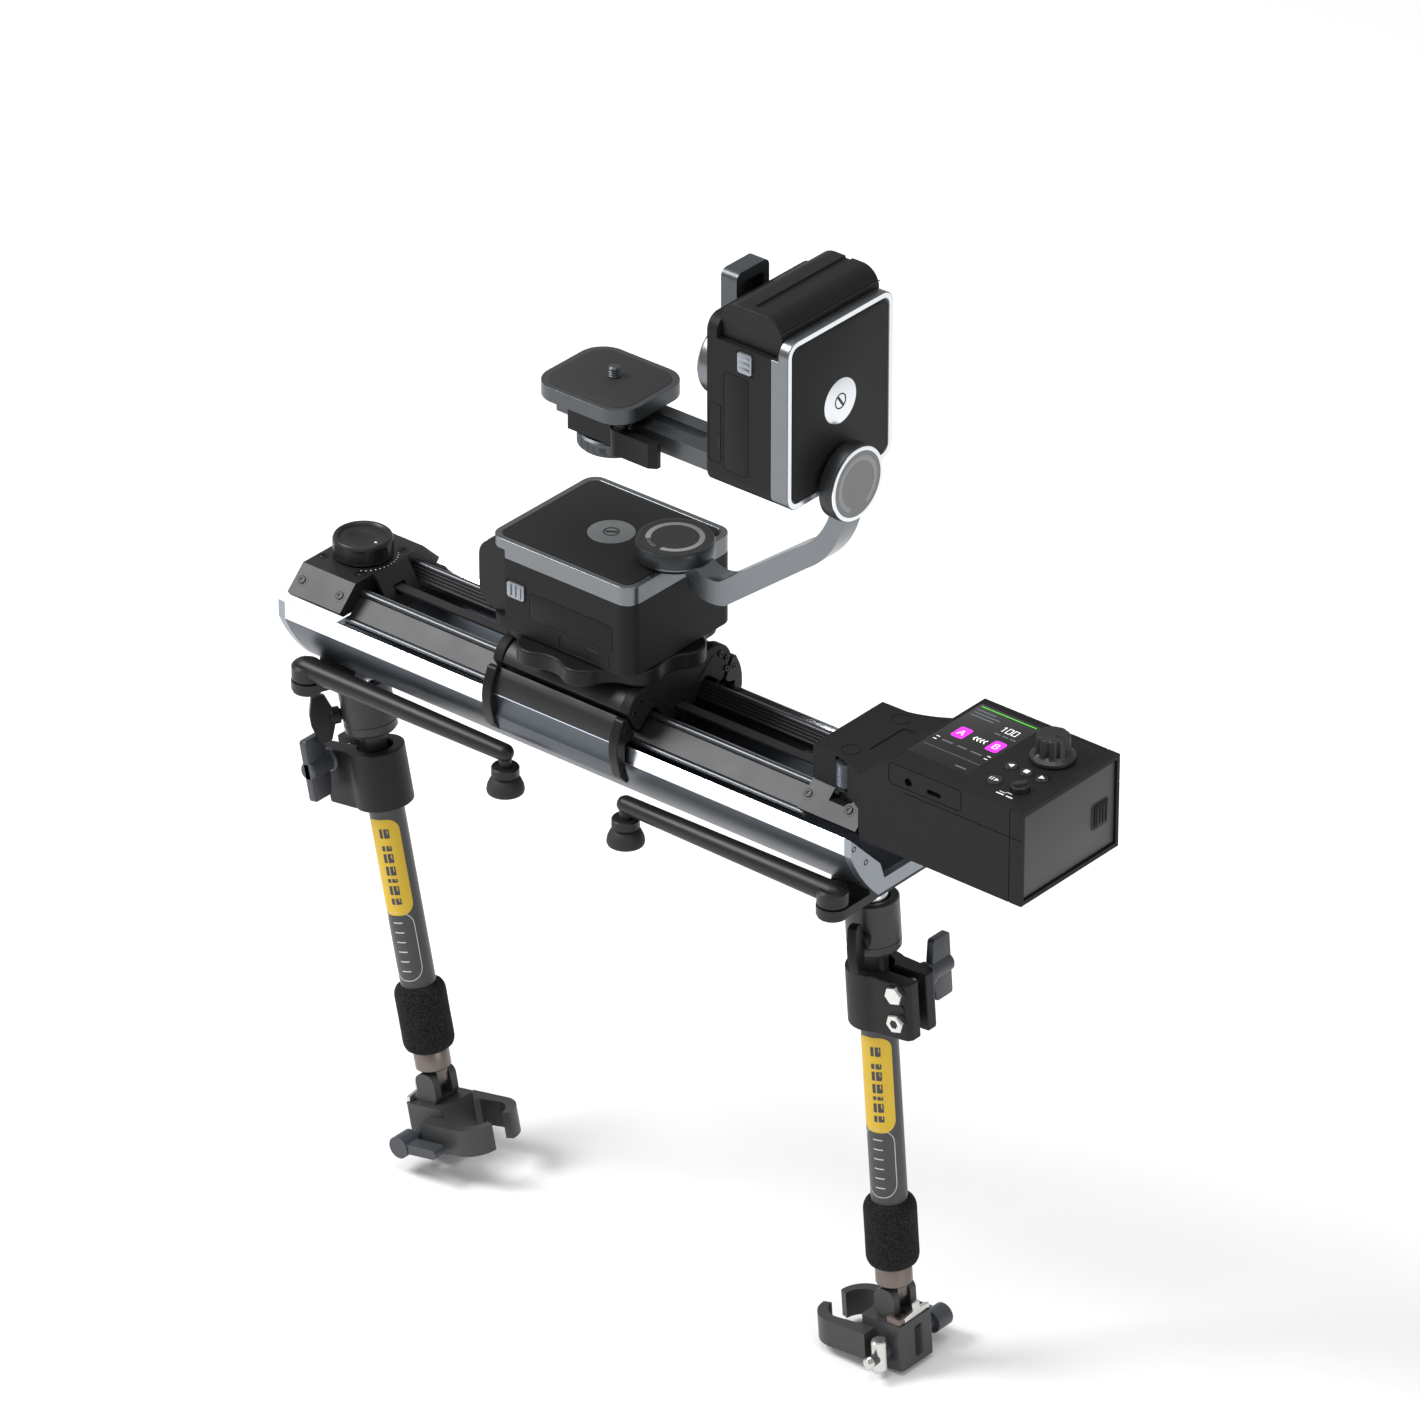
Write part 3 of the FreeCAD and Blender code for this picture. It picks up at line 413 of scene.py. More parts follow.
def raised(shape, move):
    """Draws all faces out into a solid by a move in metres, and gives the moved vertices."""
    grown = bmesh.ops.extrude_face_region(shape, geom=list(shape.faces))["geom"]
    moved = {g for g in grown if isinstance(g, bmesh.types.BMVert)}
    bmesh.ops.translate(shape, verts=list(moved), vec=move)
    return moved


def printed(points, thickness, matrix, z=0.0):
    """A thin printed patch from outline points in mm."""
    shape = bmesh.new()
    shape.faces.new([shape.verts.new((x * MM, y * MM, (z - thickness) * MM)) for x, y in points])
    raised(shape, (0, 0, 2 * thickness * MM))
    bmesh.ops.recalc_face_normals(shape, faces=shape.faces)
    return placed(shape, matrix)


def rounded_outline(width, height, corner, steps=6):
    """Points round a rectangle with round corners, centred on the origin, in mm."""
    points = []
    for quarter, (sx, sy) in enumerate(((1, 1), (-1, 1), (-1, -1), (1, -1))):
        for k in range(steps + 1):
            angle = math.radians(90 * quarter + 90 * k / steps)
            points.append((sx * (width / 2 - corner) + corner * math.cos(angle),
                           sy * (height / 2 - corner) + corner * math.sin(angle)))
    return points


tick = printed([(8.2, -0.9), (9.9, 0), (8.2, 0.9)], 0.1,
               aimed((KNOB_X, 0, KNOB_LOW + 9.5), (0, 0, 1), (0, 1, 0)))
piece_of(tick, "drag_knob_tick", white_print, "drag_control")
dots = []
for k in range(13):
    angle = math.radians(-52 + 8 * k)
    spot = (KNOB_X + 18.2 * math.cos(angle), 18.2 * math.sin(angle), 57.65)
    dots.append(placed(turned([(0, -0.1), (0.34, -0.1), (0.34, 0.06), (0, 0.06)], 12),
                       aimed(spot, (0, 0, 1))))
piece_of(joined(dots), "drag_knob_scale", white_print, "upper_rail")


# ---------------------------------------------------------------------------------------------
# Grip: an aluminium sleeve round the base rail, black above and blue-grey below a seam that carries a
# thin near-white strip of painted highlight, between two waved plastic end caps screwed to it.
def swept(points, x0, x1, matrix=Matrix()):
    """A prism along X from (y, z) outline points in mm."""
    shape = bmesh.new()
    shape.faces.new([shape.verts.new((x0 * MM, y * MM, z * MM)) for y, z in points])
    raised(shape, ((x1 - x0) * MM, 0, 0))
    return placed(shape, matrix)


def bowed(start, end, bulge, steps=10):
    """Points on a shallow curve between two (y, z) points; bulge is its rise to the left, in mm."""
    (y0, z0), (y1, z1) = start, end
    length = math.hypot(y1 - y0, z1 - z0)
    across = (-(z1 - z0) / length, (y1 - y0) / length)
    points = []
    for k in range(steps + 1):
        t = k / steps
        rise = bulge * 4 * t * (1 - t)
        points.append((y0 + (y1 - y0) * t + across[0] * rise, z0 + (z1 - z0) * t + across[1] * rise))
    return points


# Moulded ABS with a spark-eroded texture: dark, dry, no clear reflections.
textured_abs = grained("spark_textured_black_abs", ("#161616", "#1b1b1b"), (0.50, 0.60), 0.55, 0.03,
                       Specular_IOR_Level=0.16)
smooth_abs = grained("smooth_black_abs", ("#111111", "#161616"), (0.34, 0.42), 0.8, 0.01,
                     Specular_IOR_Level=0.2)
# Near-white, glossy metal: a painted highlight along the grip's seam.
seam_painted_highlight = grained("seam_painted_highlight_metal", ("#c9d2e0", "#bcc5d2"), (0.2, 0.3), 0.8, 0.004, metal=0.9)
softened("grip_core", smooth_abs, 0.3)
softened("grip_end_caps", smooth_abs, 0.6)
sleeve_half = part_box("grip_shells")[1].x / MM
SEAM_Z, SEAM_Y = 42.6, 45.9
for side, name in ((-1, "front"), (1, "rear")):
    flip = Matrix.Scale(side, 4, (0, 1, 0))
    upper = swept([(36.4, 47.2), (40.9, 55.7)] + bowed((43.2, 53.0), (SEAM_Y, SEAM_Z + 0.25), 0.5)
                  + [(43.4, SEAM_Z + 0.25), (43.5, 46.2)], -sleeve_half, sleeve_half, flip)
    piece = piece_of(upper, "grip_upper_" + name, black_machined, "upper_rail")
    lower = swept([(42.9, SEAM_Z - 0.25)] + bowed((SEAM_Y, SEAM_Z - 0.25), (45.2, 29.6), -1.5)
                  + bowed((45.2, 29.6), (41.6, 19.9), 0.5, 6) + [(39.8, 21.2), (40.6, 24.0), (42.9, 31.0)],
                  -sleeve_half, sleeve_half, flip)
    piece_of(lower, "grip_lower_" + name, blue_grey_anodised, "upper_rail")
    # Along the seam, a thin near-white strip: a painted highlight.
    seam_highlight = swept([(43.2, SEAM_Z - 0.28), (SEAM_Y + 0.08, SEAM_Z - 0.28), (SEAM_Y + 0.08, SEAM_Z + 0.28),
                   (43.2, SEAM_Z + 0.28)], -sleeve_half, sleeve_half, flip)
    piece_of(seam_highlight, "grip_seam_highlight_" + name, seam_painted_highlight, "upper_rail")
    if side > 0:
        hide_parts("grip_shells")
screws = []
for end in (-1, 1):
    for y, z in ((-42.6, 50.6), (42.6, 50.6), (-44.6, 29.0), (44.6, 29.0)):
        screws.append(socket_screw(1.7, 1.2, aimed((end * 44.2, y, z), (end, 0, 0))))
piece_of(joined(screws), "grip_cap_screws", black_oxide, "upper_rail")

# ---------------------------------------------------------------------------------------------
# Carriage: a machined top plate with non-slip patches of rubber studs, side covers and moulded
# end plates with strengthening ribs, cap screws and thin near-white strips of painted highlight along the
# plate's edges.
softened("carriage_plate", black_machined, 0.4)
softened("carriage_covers", black_machined, 0.5)
softened("carriage_end_plates", textured_abs, 0.6)
plate_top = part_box("carriage_end_plates")[1].z / MM
edges, pads, ribs, screws = [], [], [], []
for side in (-1, 1):
    # Thin silver strips along each edge of the top plate: a painted highlight where it meets the covers.
    edges.append(swept([(side * 26.35, 67.2), (side * 26.9, 67.2), (side * 26.9, plate_top + 0.05),
                        (side * 26.35, plate_top + 0.05)], -sleeve_half, sleeve_half))
    for x0, x1 in ((-37.5, -20.0), (20.0, 37.5)):
        for row in range(8):
            for column in range(10):
                x = x0 + 1.0 + column * 1.7
                y = side * (4.0 + row * 2.6 + (column % 2) * 1.3)
                pads.append(placed(turned([(0, -0.3), (0.78, -0.3), (0.62, 0.28), (0, 0.28)], 6),
                                   aimed((x, y, plate_top), (0, 0, 1))))
    edges.append(swept([(side * 25.4, 68.8), (side * 25.8, 68.8), (side * 25.8, plate_top + 0.3),
                        (side * 25.4, plate_top + 0.3)], -sleeve_half, sleeve_half))
end_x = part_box("carriage_end_plates")[1].x / MM
for end in (-1, 1):
    for y0, z0, y1, z1 in ((0.5, 40.5, 15.0, 56.0), (0.5, 40.5, -13.5, 54.0), (15.0, 56.0, 26.0, 64.0),
                           (-13.5, 54.0, -26.0, 64.0)):
        along = Vector((0, y1 - y0, z1 - z0))
        rib = bmesh.new()
        bmesh.ops.create_cube(rib, size=1.0, matrix=Matrix.Diagonal((1.0, 1.1, along.length, 1 / MM)) * MM)
        turn = along.to_track_quat("Z", "X").to_matrix().to_4x4()
        placed(rib, at(end * (end_x - 0.15), (y0 + y1) / 2, (z0 + z1) / 2) @ turn)
        bmesh.ops.bevel(rib, geom=rib.edges, affect="EDGES", offset=0.25 * MM, segments=2, profile=0.5,
                        material=-1)
        ribs.append(rib)
    for y, z in ((-36.2, 58.4), (36.2, 58.4), (-31.4, 62.8), (31.4, 62.8), (36.0, 52.4)):
        screws.append(socket_screw(1.7, 1.0, aimed((end * (end_x - 0.1), y, z), (end, 0, 0))))
# The edge strips are a painted highlight.
piece_of(joined(edges), "carriage_edge_painted_highlights", silver_aluminium, "carriage")
piece_of(joined(pads), "carriage_top_studs", moulded_rubber, "carriage")
piece_of(joined(ribs), "carriage_end_ribs", textured_abs, "carriage")
piece_of(joined(screws), "carriage_screws", black_oxide, "carriage")

# ---------------------------------------------------------------------------------------------
# Drive: a moulded motor housing on the right-hand end block, with its lid, glass display, keys,
# encoder, mode switch, thumbwheel, sockets and a battery hatch on its end.
softened("drive_housing", textured_abs, 0.7)
softened("drive_top_cover", textured_abs, 0.35)
lid_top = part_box("drive_top_cover")[1].z / MM
DRIVE = "upper_rail"


def slab(size, corner, matrix, edge=0.3, segments=5):
    """A plate with round corners and broken edges, standing on its seat; sizes in mm."""
    width, height, thick = size
    shape = bmesh.new()
    bmesh.ops.create_cube(shape, size=MM, matrix=Matrix.Diagonal((width, height, thick, 1)))
    bmesh.ops.translate(shape, verts=shape.verts, vec=(0, 0, thick / 2 * MM))
    upright = [e for e in shape.edges if abs(e.verts[0].co.z - e.verts[1].co.z) > 1e-7]
    bmesh.ops.bevel(shape, geom=upright, affect="EDGES", offset=corner * MM, segments=segments,
                    profile=0.5, material=-1)
    top = [e for e in shape.edges if all(v.co.z > (thick - 0.001) * MM for v in e.verts)]
    bmesh.ops.bevel(shape, geom=top, affect="EDGES", offset=edge * MM, segments=2, profile=0.5,
                    material=-1)
    return placed(shape, matrix)


def lit(name, code, strength):
    """A lit part of the display."""
    made = bpy.data.materials.new(name)
    made.use_nodes = True
    tree = made.node_tree
    shader = tree.nodes["Principled BSDF"]
    shader.inputs["Roughness"].default_value = 0.3
    shader.inputs["Base Color"].default_value = hex_to_linear(code)
    shader.inputs["Emission Strength"].default_value = strength
    place = add_node(tree, "TexCoord").outputs["Object"]
    rows = add_node(tree, "TexNoise", {"Scale": 1 / (0.4 * MM), "Detail": 0.0}, {"Vector": place})
    dim = [0.8 * c for c in hex_to_linear(code)[:3]] + [1.0]
    tone = add_node(tree, "Mix", {"data_type": "RGBA", 6: dim, 7: hex_to_linear(code)},
                    {0: rows.outputs["Fac"]})
    tree.links.new(tone.outputs[2], shader.inputs["Emission Color"])
    return made


# Display glass: black and glossy. The lit marks lie behind it and glow a little.
display_glass = grained("black_display_glass", ("#0c0c0d", "#0e0e10"), (0.10, 0.14), 3.0, 0.001)
magenta_light = lit("magenta_display_light", "#e828e8", 0.75)
green_light = lit("green_display_light", "#4fd32a", 0.7)
white_light = lit("white_display_light", "#e8e8e8", 0.7)
grey_light = lit("grey_display_light", "#55585c", 0.5)


def spun(degrees, axis):
    """Matrix of a turn about one of the axes."""
    return Matrix.Rotation(math.radians(degrees), 4, axis)


def on_lid(x, y, lift=0.0, turn=0.0):
    """Place on the drive's lid, with the marks' tops towards +Y."""
    return (at(x, y, lid_top + lift)
            @ spun(turn, "Z"))


def stroke(points, width, matrix, thick=0.03):
    """Printed line through (x, y) points in mm, as one thin bar for each run."""
    bars = []
    for (x0, y0), (x1, y1) in zip(points, points[1:]):
        length = math.hypot(x1 - x0, y1 - y0) + width * 0.7
        angle = math.atan2(y1 - y0, x1 - x0)
        bar = printed([(-length / 2, -width / 2), (length / 2, -width / 2), (length / 2, width / 2),
                       (-length / 2, width / 2)], thick,
                      matrix @ at((x0 + x1) / 2, (y0 + y1) / 2, 0)
                      @ Matrix.Rotation(angle, 4, "Z"))
        bars.append(bar)
    return bars


glass = slab((38.5, 59.5, 0.5), 1.2, on_lid(231.2, 3.6, -0.42), 0.1)
piece_of(glass, "drive_display_glass", display_glass, DRIVE)
GLASS = 0.1
magenta = [printed(rounded_outline(10.4, 7.4, 1.6), 0.03, on_lid(x, y, GLASS, -90))
           for x, y in ((222.5, 4.6), (244.0, 4.6))]
piece_of(joined(magenta), "display_end_marks", magenta_light, DRIVE)
bar = stroke([(0, 0), (34, 0)], 0.55, on_lid(214.2, 31.2, GLASS))
piece_of(joined(bar), "display_green_bar", green_light, DRIVE)
white = []
white += stroke([(-1.7, -2.2), (0, 2.2), (1.7, -2.2)], 0.45, on_lid(222.5, 4.6, GLASS + 0.05))
white += stroke([(-1.2, -0.7), (1.2, -0.7)], 0.4, on_lid(222.5, 4.6, GLASS + 0.05))
white += stroke([(-1.3, -2.1), (-1.3, 2.1), (0.9, 2.1), (1.3, 1.2), (0.7, 0.2), (-1.2, 0.1)], 0.4,
                on_lid(244.0, 4.6, GLASS + 0.05))
white += stroke([(0.7, 0.1), (1.6, -0.9), (1.1, -2.1), (-1.2, -2.1)], 0.4, on_lid(244.0, 4.6, GLASS + 0.05))
for k in range(4):
    white += stroke([(1.0, 1.6), (0, 0), (1.0, -1.6)], 0.7, on_lid(230.2 + 2.1 * k, 4.6, GLASS))
for k, digit in enumerate(("1", "0", "0")):
    marks = {"1": [(-0.5, 1.5), (0.3, 2.3), (0.3, -2.3)],
             "0": [(-1.2, 2.3), (1.2, 2.3), (1.2, -2.3), (-1.2, -2.3), (-1.2, 2.3)]}[digit]
    white += stroke(marks, 0.45, on_lid(236.5 + 3.6 * k, 20.4, GLASS))
for x, y in ((215.5, -5.2), (215.5, -8.0), (247.5, -5.2), (247.5, -8.0)):
    white += stroke([(-0.9, 0), (0.9, 0)], 0.5, on_lid(x, y, GLASS))
piece_of(joined(white), "display_figures", white_light, DRIVE)
grey = []
for y, x0, x1 in ((27.6, 214.5, 225.5), (24.8, 214.5, 230.0), (22.0, 214.5, 228.0), (14.8, 235.5, 238.5),
                  (14.8, 240.2, 243.2), (14.8, 245.0, 248.0), (-6.6, 219.5, 225.5), (-6.6, 229.0, 234.0),
                  (-6.6, 237.5, 243.5), (-14.5, 214.0, 249.0), (-22.0, 240.0, 246.0)):
    grey += stroke([(x0, 0), (x1, 0)], 0.35 if x1 - x0 > 30 else 1.0, on_lid(0, y, GLASS))
piece_of(joined(grey), "display_small_marks", grey_light, DRIVE)

# Keys: domed silicone caps with printed signs, the fluted encoder knob and the mode switch.
silk_black = grained("silk_black_keycap", ("#151516", "#1a1a1b"), (0.42, 0.5), 0.6, 0.01)
softened("mode_dial", silk_black, 0.5)
for key, (x, y, r) in {"back": (261.2, -5.0, 3.6), "stop": (270.8, -5.0, 3.6),
                       "forward": (280.4, -5.0, 3.6), "start": (263.5, -20.8, 4.2)}.items():
    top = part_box("button_" + key)[1].z / MM
    cap = turned([(0, lid_top - 5.0), (r - 0.1, lid_top - 5.0), (r - 0.1, top - 0.5), (r - 0.35, top - 0.12),
                  (r - 0.9, top), (r * 0.5, top - 0.12), (0, top - 0.18)])
    made = piece_of(placed(cap, aimed((x, y, 0), (0, 0, 1))), "button_" + key + "_cap", silk_black,
                    key + "_key")
    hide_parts("button_" + key)
    sign_place = at(x, y, top - 0.08)
    if key in ("back", "forward"):
        way = -1 if key == "back" else 1
        sign = [printed([(way * 1.7, 0), (-way * 1.3, 1.7), (-way * 1.3, -1.7)][::way], 0.08, sign_place)]
    elif key == "stop":
        sign = [printed(rounded_outline(2.9, 2.9, 0.5), 0.08, sign_place)]
    else:
        sign = (stroke([(-2.6, 1.1), (-2.6, -1.1)], 0.5, sign_place, 0.08)
                + stroke([(-1.2, 1.3), (-1.2, -1.3)], 0.5, sign_place, 0.08)
                + [printed([(2.4, 0), (0.2, 1.4), (0.2, -1.4)], 0.08, sign_place)])
    piece_of(joined(sign), "button_" + key + "_sign", white_print, key + "_key")
    ring = turned([(r + 0.15, -0.4), (r + 0.15, 0.1), (r + 1.0, 0.1), (r + 1.0, -0.4), (r + 0.15, -0.4)])
    piece_of(placed(ring, aimed((x, y, lid_top), (0, 0, 1))), "button_" + key + "_ring", smooth_abs, DRIVE)

knob_low, knob_top = (c.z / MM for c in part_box("encoder_knob"))
KX, KY = 272.4, 13.8
fluted = turned([(0, lid_top + 0.7), (11.6, lid_top + 0.7), (11.8, lid_top + 1.0), (11.6, lid_top + 2.4),
                 (9.4, lid_top + 3.6), (8.9, lid_top + 4.6), (8.7, knob_top - 1.4), (8.1, knob_top - 0.4),
                 (7.2, knob_top), (5.6, knob_top - 0.15), (0, knob_top - 0.5)], 120)
for vert in fluted.verts:
    if lid_top + 4.0 < vert.co.z / MM < knob_top - 0.2:
        angle = math.atan2(vert.co.y, vert.co.x)
        dip = 0.9 * max(0.0, math.cos(10 * angle)) ** 2
        vert.co.xy *= 1 - dip / 8.7
stem = turned([(0, knob_low), (7.7, knob_low), (7.7, lid_top + 0.8), (0, lid_top + 0.8)])
made = piece_of(placed(joined([fluted, stem]), aimed((KX, KY, 0), (0, 0, 1))), "encoder_knob_fluted",
                silk_black, "encoder")
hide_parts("encoder_knob")
pointer = stroke([(2.0, 0), (6.4, 0)], 0.8, aimed((KX, KY, knob_top - 0.15), (0, 0, 1)), 0.12)
piece_of(joined(pointer), "encoder_pointer", satin_black_anodised, "encoder")
print_marks = stroke([(-4.5, 0), (-1.8, 0), (-0.8, 1.1), (2.0, 1.1)], 0.5, on_lid(276.5, -27.4, 0.02))
print_marks += stroke([(-5.0, -1.9), (-1.0, -1.9)], 0.9, on_lid(276.5, -27.4, 0.02))
print_marks += stroke([(1.0, -1.9), (4.4, -1.9)], 0.9, on_lid(276.5, -27.4, 0.02))
piece_of(joined(print_marks), "mode_switch_print", white_print, DRIVE)
dial_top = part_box("mode_dial")[1].z / MM
lever = slab((7.6, 2.2, 2.4), 0.9, at(279.0, -20.4, dial_top - 0.6)
             @ spun(60, "Z"), 0.5)
piece_of(lever, "mode_dial_lever", silk_black, "mode_control")

# Thumbwheel: turned aluminium with fine ridges, running in a jaw under the housing's neck.
wheel_low, wheel_top = (c.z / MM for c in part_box("thumbwheel"))
ridges = [(1.6, wheel_low), (4.9, wheel_low)]
count = 9
for k in range(count):
    z = wheel_low + 0.5 + (wheel_top - wheel_low - 1.0) * k / count
    step = (wheel_top - wheel_low - 1.0) / count
    ridges += [(5.05, z), (5.4, z + 0.3 * step), (5.4, z + 0.65 * step), (5.05, z + 0.95 * step)]
ridges += [(4.9, wheel_top), (1.6, wheel_top), (1.6, wheel_low)]
made = piece_of(placed(turned(ridges), aimed((174.6, -26.2, 0), (0, 0, 1))), "thumbwheel_ridged",
                blue_grey_anodised, "side_wheel")
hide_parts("thumbwheel")
jaw = joined([slab((11.0, 4.0, 2.2), 0.6, at(174.6, -26.9, 57.4), 0.3),
              slab((3.0, 4.0, 3.0), 0.5, at(170.6, -26.9, 55.4), 0.3),
              slab((3.0, 4.0, 3.0), 0.5, at(178.6, -26.9, 55.4), 0.3)])
piece_of(jaw, "thumbwheel_jaw", smooth_abs, DRIVE)

# End hatch: a satin plate set back in the housing's rim, with a ridged latch over a dark patch of painted
# shade.
end_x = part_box("drive_housing")[1].x / MM
hatch_turn = at(end_x - 3.3, 0, 68.4) @ spun(90, "Y")
hatch_turn = hatch_turn @ spun(90, "Z")
hatch_plate = grained("satin_black_hatch_plate", ("#2c2c2c", "#333333"), (0.42, 0.5), 0.6, 0.02,
                      Specular_IOR_Level=0.6)
piece_of(slab((72.0, 46.6, 2.2), 1.0, hatch_turn, 0.4), "drive_end_hatch", hatch_plate, DRIVE)
# A dark patch under the latch: painted shade in its recess.
latch_recess_shade = slab((13.4, 15.0, 0.5), 2.4, hatch_turn @ at(24.5, -1.9, 2.0), 0.1)
piece_of(latch_recess_shade, "end_latch_recess_shade", moulded_rubber, DRIVE)
latch = [slab((11.0, 12.6, 1.0), 1.8, hatch_turn @ at(25.0, -1.9, 2.2), 0.3)]
for k in range(4):
    latch.append(slab((1.1, 10.6, 0.7), 0.4, hatch_turn
                      @ at(21.2 + 2.4 * k, -1.9, 2.9), 0.3))
piece_of(joined(latch), "end_latch", smooth_abs, DRIVE)


# ---------------------------------------------------------------------------------------------
# Pan and tilt modules: two like motor boxes of black ABS, each with an aluminium band round its
# face, a black face panel with a screwed disc, a label window, a socket cover, a battery latch
# and a camcorder battery. The tilt module is the pan module turned a quarter about Y.

# Grey anodised band, milled: satin. Near-white metal, nearly a mirror, is painted highlight on the tilt
# face's rim chamfer and disc; the leather-grained panel is dull. The pan disc is spun, the label smoked, the
# battery satin.
anodised_band = grained("grey_anodised_band", ("#6d7073", "#767a7d"), (0.24, 0.32), 0.5, 0.008, metal=0.95)
# Near-white, glossy metal: a painted highlight on the tilt face's rim chamfer, the tilt disc and the upper
# hub's edge.
painted_highlight_aluminium = grained("aluminium_painted_highlight", ("#e2e6ea", "#eceff2"), (0.16, 0.24), 0.5, 0.008, metal=0.95)
face_panel = grained("black_leatherette_panel", ("#191919", "#1e1e1e"), (0.5, 0.6), 0.7, 0.03,
                     Specular_IOR_Level=0.16)
satin_disc = grained("spun_aluminium_disc", ("#85888a", "#8e9193"), (0.3, 0.38), 0.5, 0.006, metal=0.9)
gloss_label = grained("dark_label_window", ("#161617", "#1a1a1b"), (0.5, 0.6), 1.0, 0.005,
                      Specular_IOR_Level=0.16)
battery_abs = grained("satin_black_battery_abs", ("#111111", "#161616"), (0.36, 0.46), 0.5, 0.012,
                      Specular_IOR_Level=0.2)

PAN_FACE, PAN_BACK, MODULE_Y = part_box("pan_rim")[1].z / MM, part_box("pan_body")[0].z / MM, 40.7
LATCH_X, LATCH_Y = -28.2, 103.9
TILT_MID = (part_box("tilt_rim")[0].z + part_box("tilt_rim")[1].z) / 2 / MM
TILT_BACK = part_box("tilt_body")[0].x / MM
to_tilt = (at(TILT_BACK - PAN_BACK, 0, TILT_MID)
           @ spun(90, "Y"))


def frame_ring(outer, inner, thick, matrix):
    """A flat ring between two outlines with the same number of points, in mm."""
    shape = bmesh.new()
    for points in (outer, inner):
        loop = [shape.verts.new((x * MM, y * MM, 0)) for x, y in points]
        for pair in zip(loop, loop[1:] + loop[:1]):
            shape.edges.new(pair)
    bmesh.ops.bridge_loops(shape, edges=list(shape.edges))
    raised(shape, (0, 0, thick * MM))
    return placed(shape, matrix)


for head, move, body in (("pan", Matrix(), "pan_head"), ("tilt", to_tilt, "tilt_head")):
    softened(head + "_body", textured_abs, 0.9)
    softened(head + "_rim", anodised_band, 0.7)
    softened(head + "_battery", battery_abs, 0.8)
    front = at(0, -MODULE_Y, 0) @ spun(90, "X")
    panel = slab((85.2, 73.6, 0.75), 4.8, move @ at(0, 0, PAN_FACE - 0.8), 0.25)
    piece_of(panel, head + "_face_panel", face_panel, body)
    disc = turned([(0, -0.2), (12.2, -0.2), (12.2, 0.12), (11.9, 0.25), (0, 0.25)], 64)
    # The tilt disc is the pan's spun disc drawn in near-white metal: a painted highlight.
    piece_of(placed(disc, move @ at(0, 0, PAN_FACE - 0.1)), head + "_face_disc",
             satin_disc if head == "pan" else painted_highlight_aluminium, body)
    head_ring = turned([(3.6, -0.1), (3.6, 0.2), (4.3, 0.2), (4.3, -0.1), (3.6, -0.1)], 40)
    slot_bar = slab((6.4, 1.3, 0.3), 0.3, spun(35, "Z"), 0.05)
    marks = placed(joined([head_ring, slot_bar]), move @ at(0, 0, PAN_FACE + 0.06))
    piece_of(marks, head + "_disc_screw", black_oxide, body)
    label = slab((54.0, 15.2, 0.3), 1.8, move @ front @ at(7.7, 98.1, -0.33), 0.08)
    piece_of(label, head + "_label_window", gloss_label, body)
    keys = [slab((11.4, 9.0, 1.7), 1.6, move @ front @ at(LATCH_X, LATCH_Y, -0.7), 0.4)]
    for k in (-1, 0, 1):
        keys.append(slab((1.4, 6.6, 0.8), 0.5, move @ front @ at(LATCH_X + 3.2 * k, LATCH_Y, 0.9), 0.3))
    piece_of(joined(keys), head + "_battery_latch", silver_aluminium, body)
    # A dark patch round the latch: painted shade in its pocket.
    pocket_shade = slab((12.6, 10.0, 0.3), 2.0, move @ front @ at(LATCH_X, LATCH_Y, -0.79), 0.05)
    piece_of(pocket_shade, head + "_latch_pocket_shade", moulded_rubber, body)
    # A dark bar for the socket cover's slot: painted shade.
    slot_shade = slab((8.0, 0.7, 0.25), 0.3, move @ front @ at(22.0, 87.4, -0.1), 0.05)
    piece_of(slot_shade, head + "_socket_cover_slot_shade", moulded_rubber, body)
    line = [(-37.5, 0), (37.5, 0), (37.5, 0.35), (-37.5, 0.35)]
    steps = [placed(swept(line, -0.2, 0.2), move @ at(-49.4, 0, z)) for z in (85.85, 124.2)]
    piece_of(joined(steps), head + "_battery_seam", moulded_rubber, body)
    if head == "tilt":
        # A thin near-white ring on the rim's chamfer: a painted highlight.
        chamfer_highlight_ring = frame_ring(rounded_outline(92.0, 80.4, 7.5), rounded_outline(86.8, 75.2, 5.0), 0.2,
                              move @ at(0, 0, PAN_FACE - 0.1))
        piece_of(chamfer_highlight_ring, "tilt_painted_highlight_edge", painted_highlight_aluminium, body)

softened("pan_base_knob", battery_abs, 1.4, segments=3)

# ---------------------------------------------------------------------------------------------
# Tilt arm: a bent aluminium bar, machined and anodised silver, with a disc hub at each end; each
# hub has a dark cap with a pale dial arc printed on its window.

# Silver arm: machined and anodised, a broad soft sheen. Hub sides are blacked, the lower window is
# smoked and glossy, the upper face is satin grey in a near-white ring of painted highlight, and the printed
# arcs are flat.
arm_silver = grained("machined_silver_anodised_arm", ("#6c7073", "#75797d"), (0.22, 0.30), 0.5, 0.008,
                     metal=0.95)
hub_black = grained("black_anodised_hub", ("#2c2e30", "#343638"), (0.32, 0.40), 0.5, 0.01, metal=0.5)
hub_glass = grained("smoked_hub_window", ("#0d0d0e", "#111112"), (0.12, 0.18), 2.0, 0.001)
hub_grey = grained("grey_hub_face", ("#6c6c6c", "#747474"), (0.35, 0.45), 1.0, 0.004, metal=0.2)
arc_grey = grained("grey_printed_arc", ("#808284", "#8a8c8e"), (0.45, 0.55), 0.8, 0.004)


def dial_arc(inner, outer, start, stop, z, thick=0.08, steps=40):
    """A flat arc band between two angles in degrees."""
    shape = bmesh.new()
    first = [shape.verts.new((r * MM * math.cos(math.radians(start)), r * MM * math.sin(math.radians(start)),
                              (z + h) * MM))
             for r, h in ((inner, -thick), (outer, -thick), (outer, thick), (inner, thick))]
    face = shape.faces.new(first)
    bmesh.ops.spin(shape, geom=[face], axis=(0, 0, 1), cent=(0, 0, 0),
                   angle=math.radians(stop - start), steps=steps)
    bmesh.ops.remove_doubles(shape, verts=shape.verts, dist=0.001 * MM)
    return shape


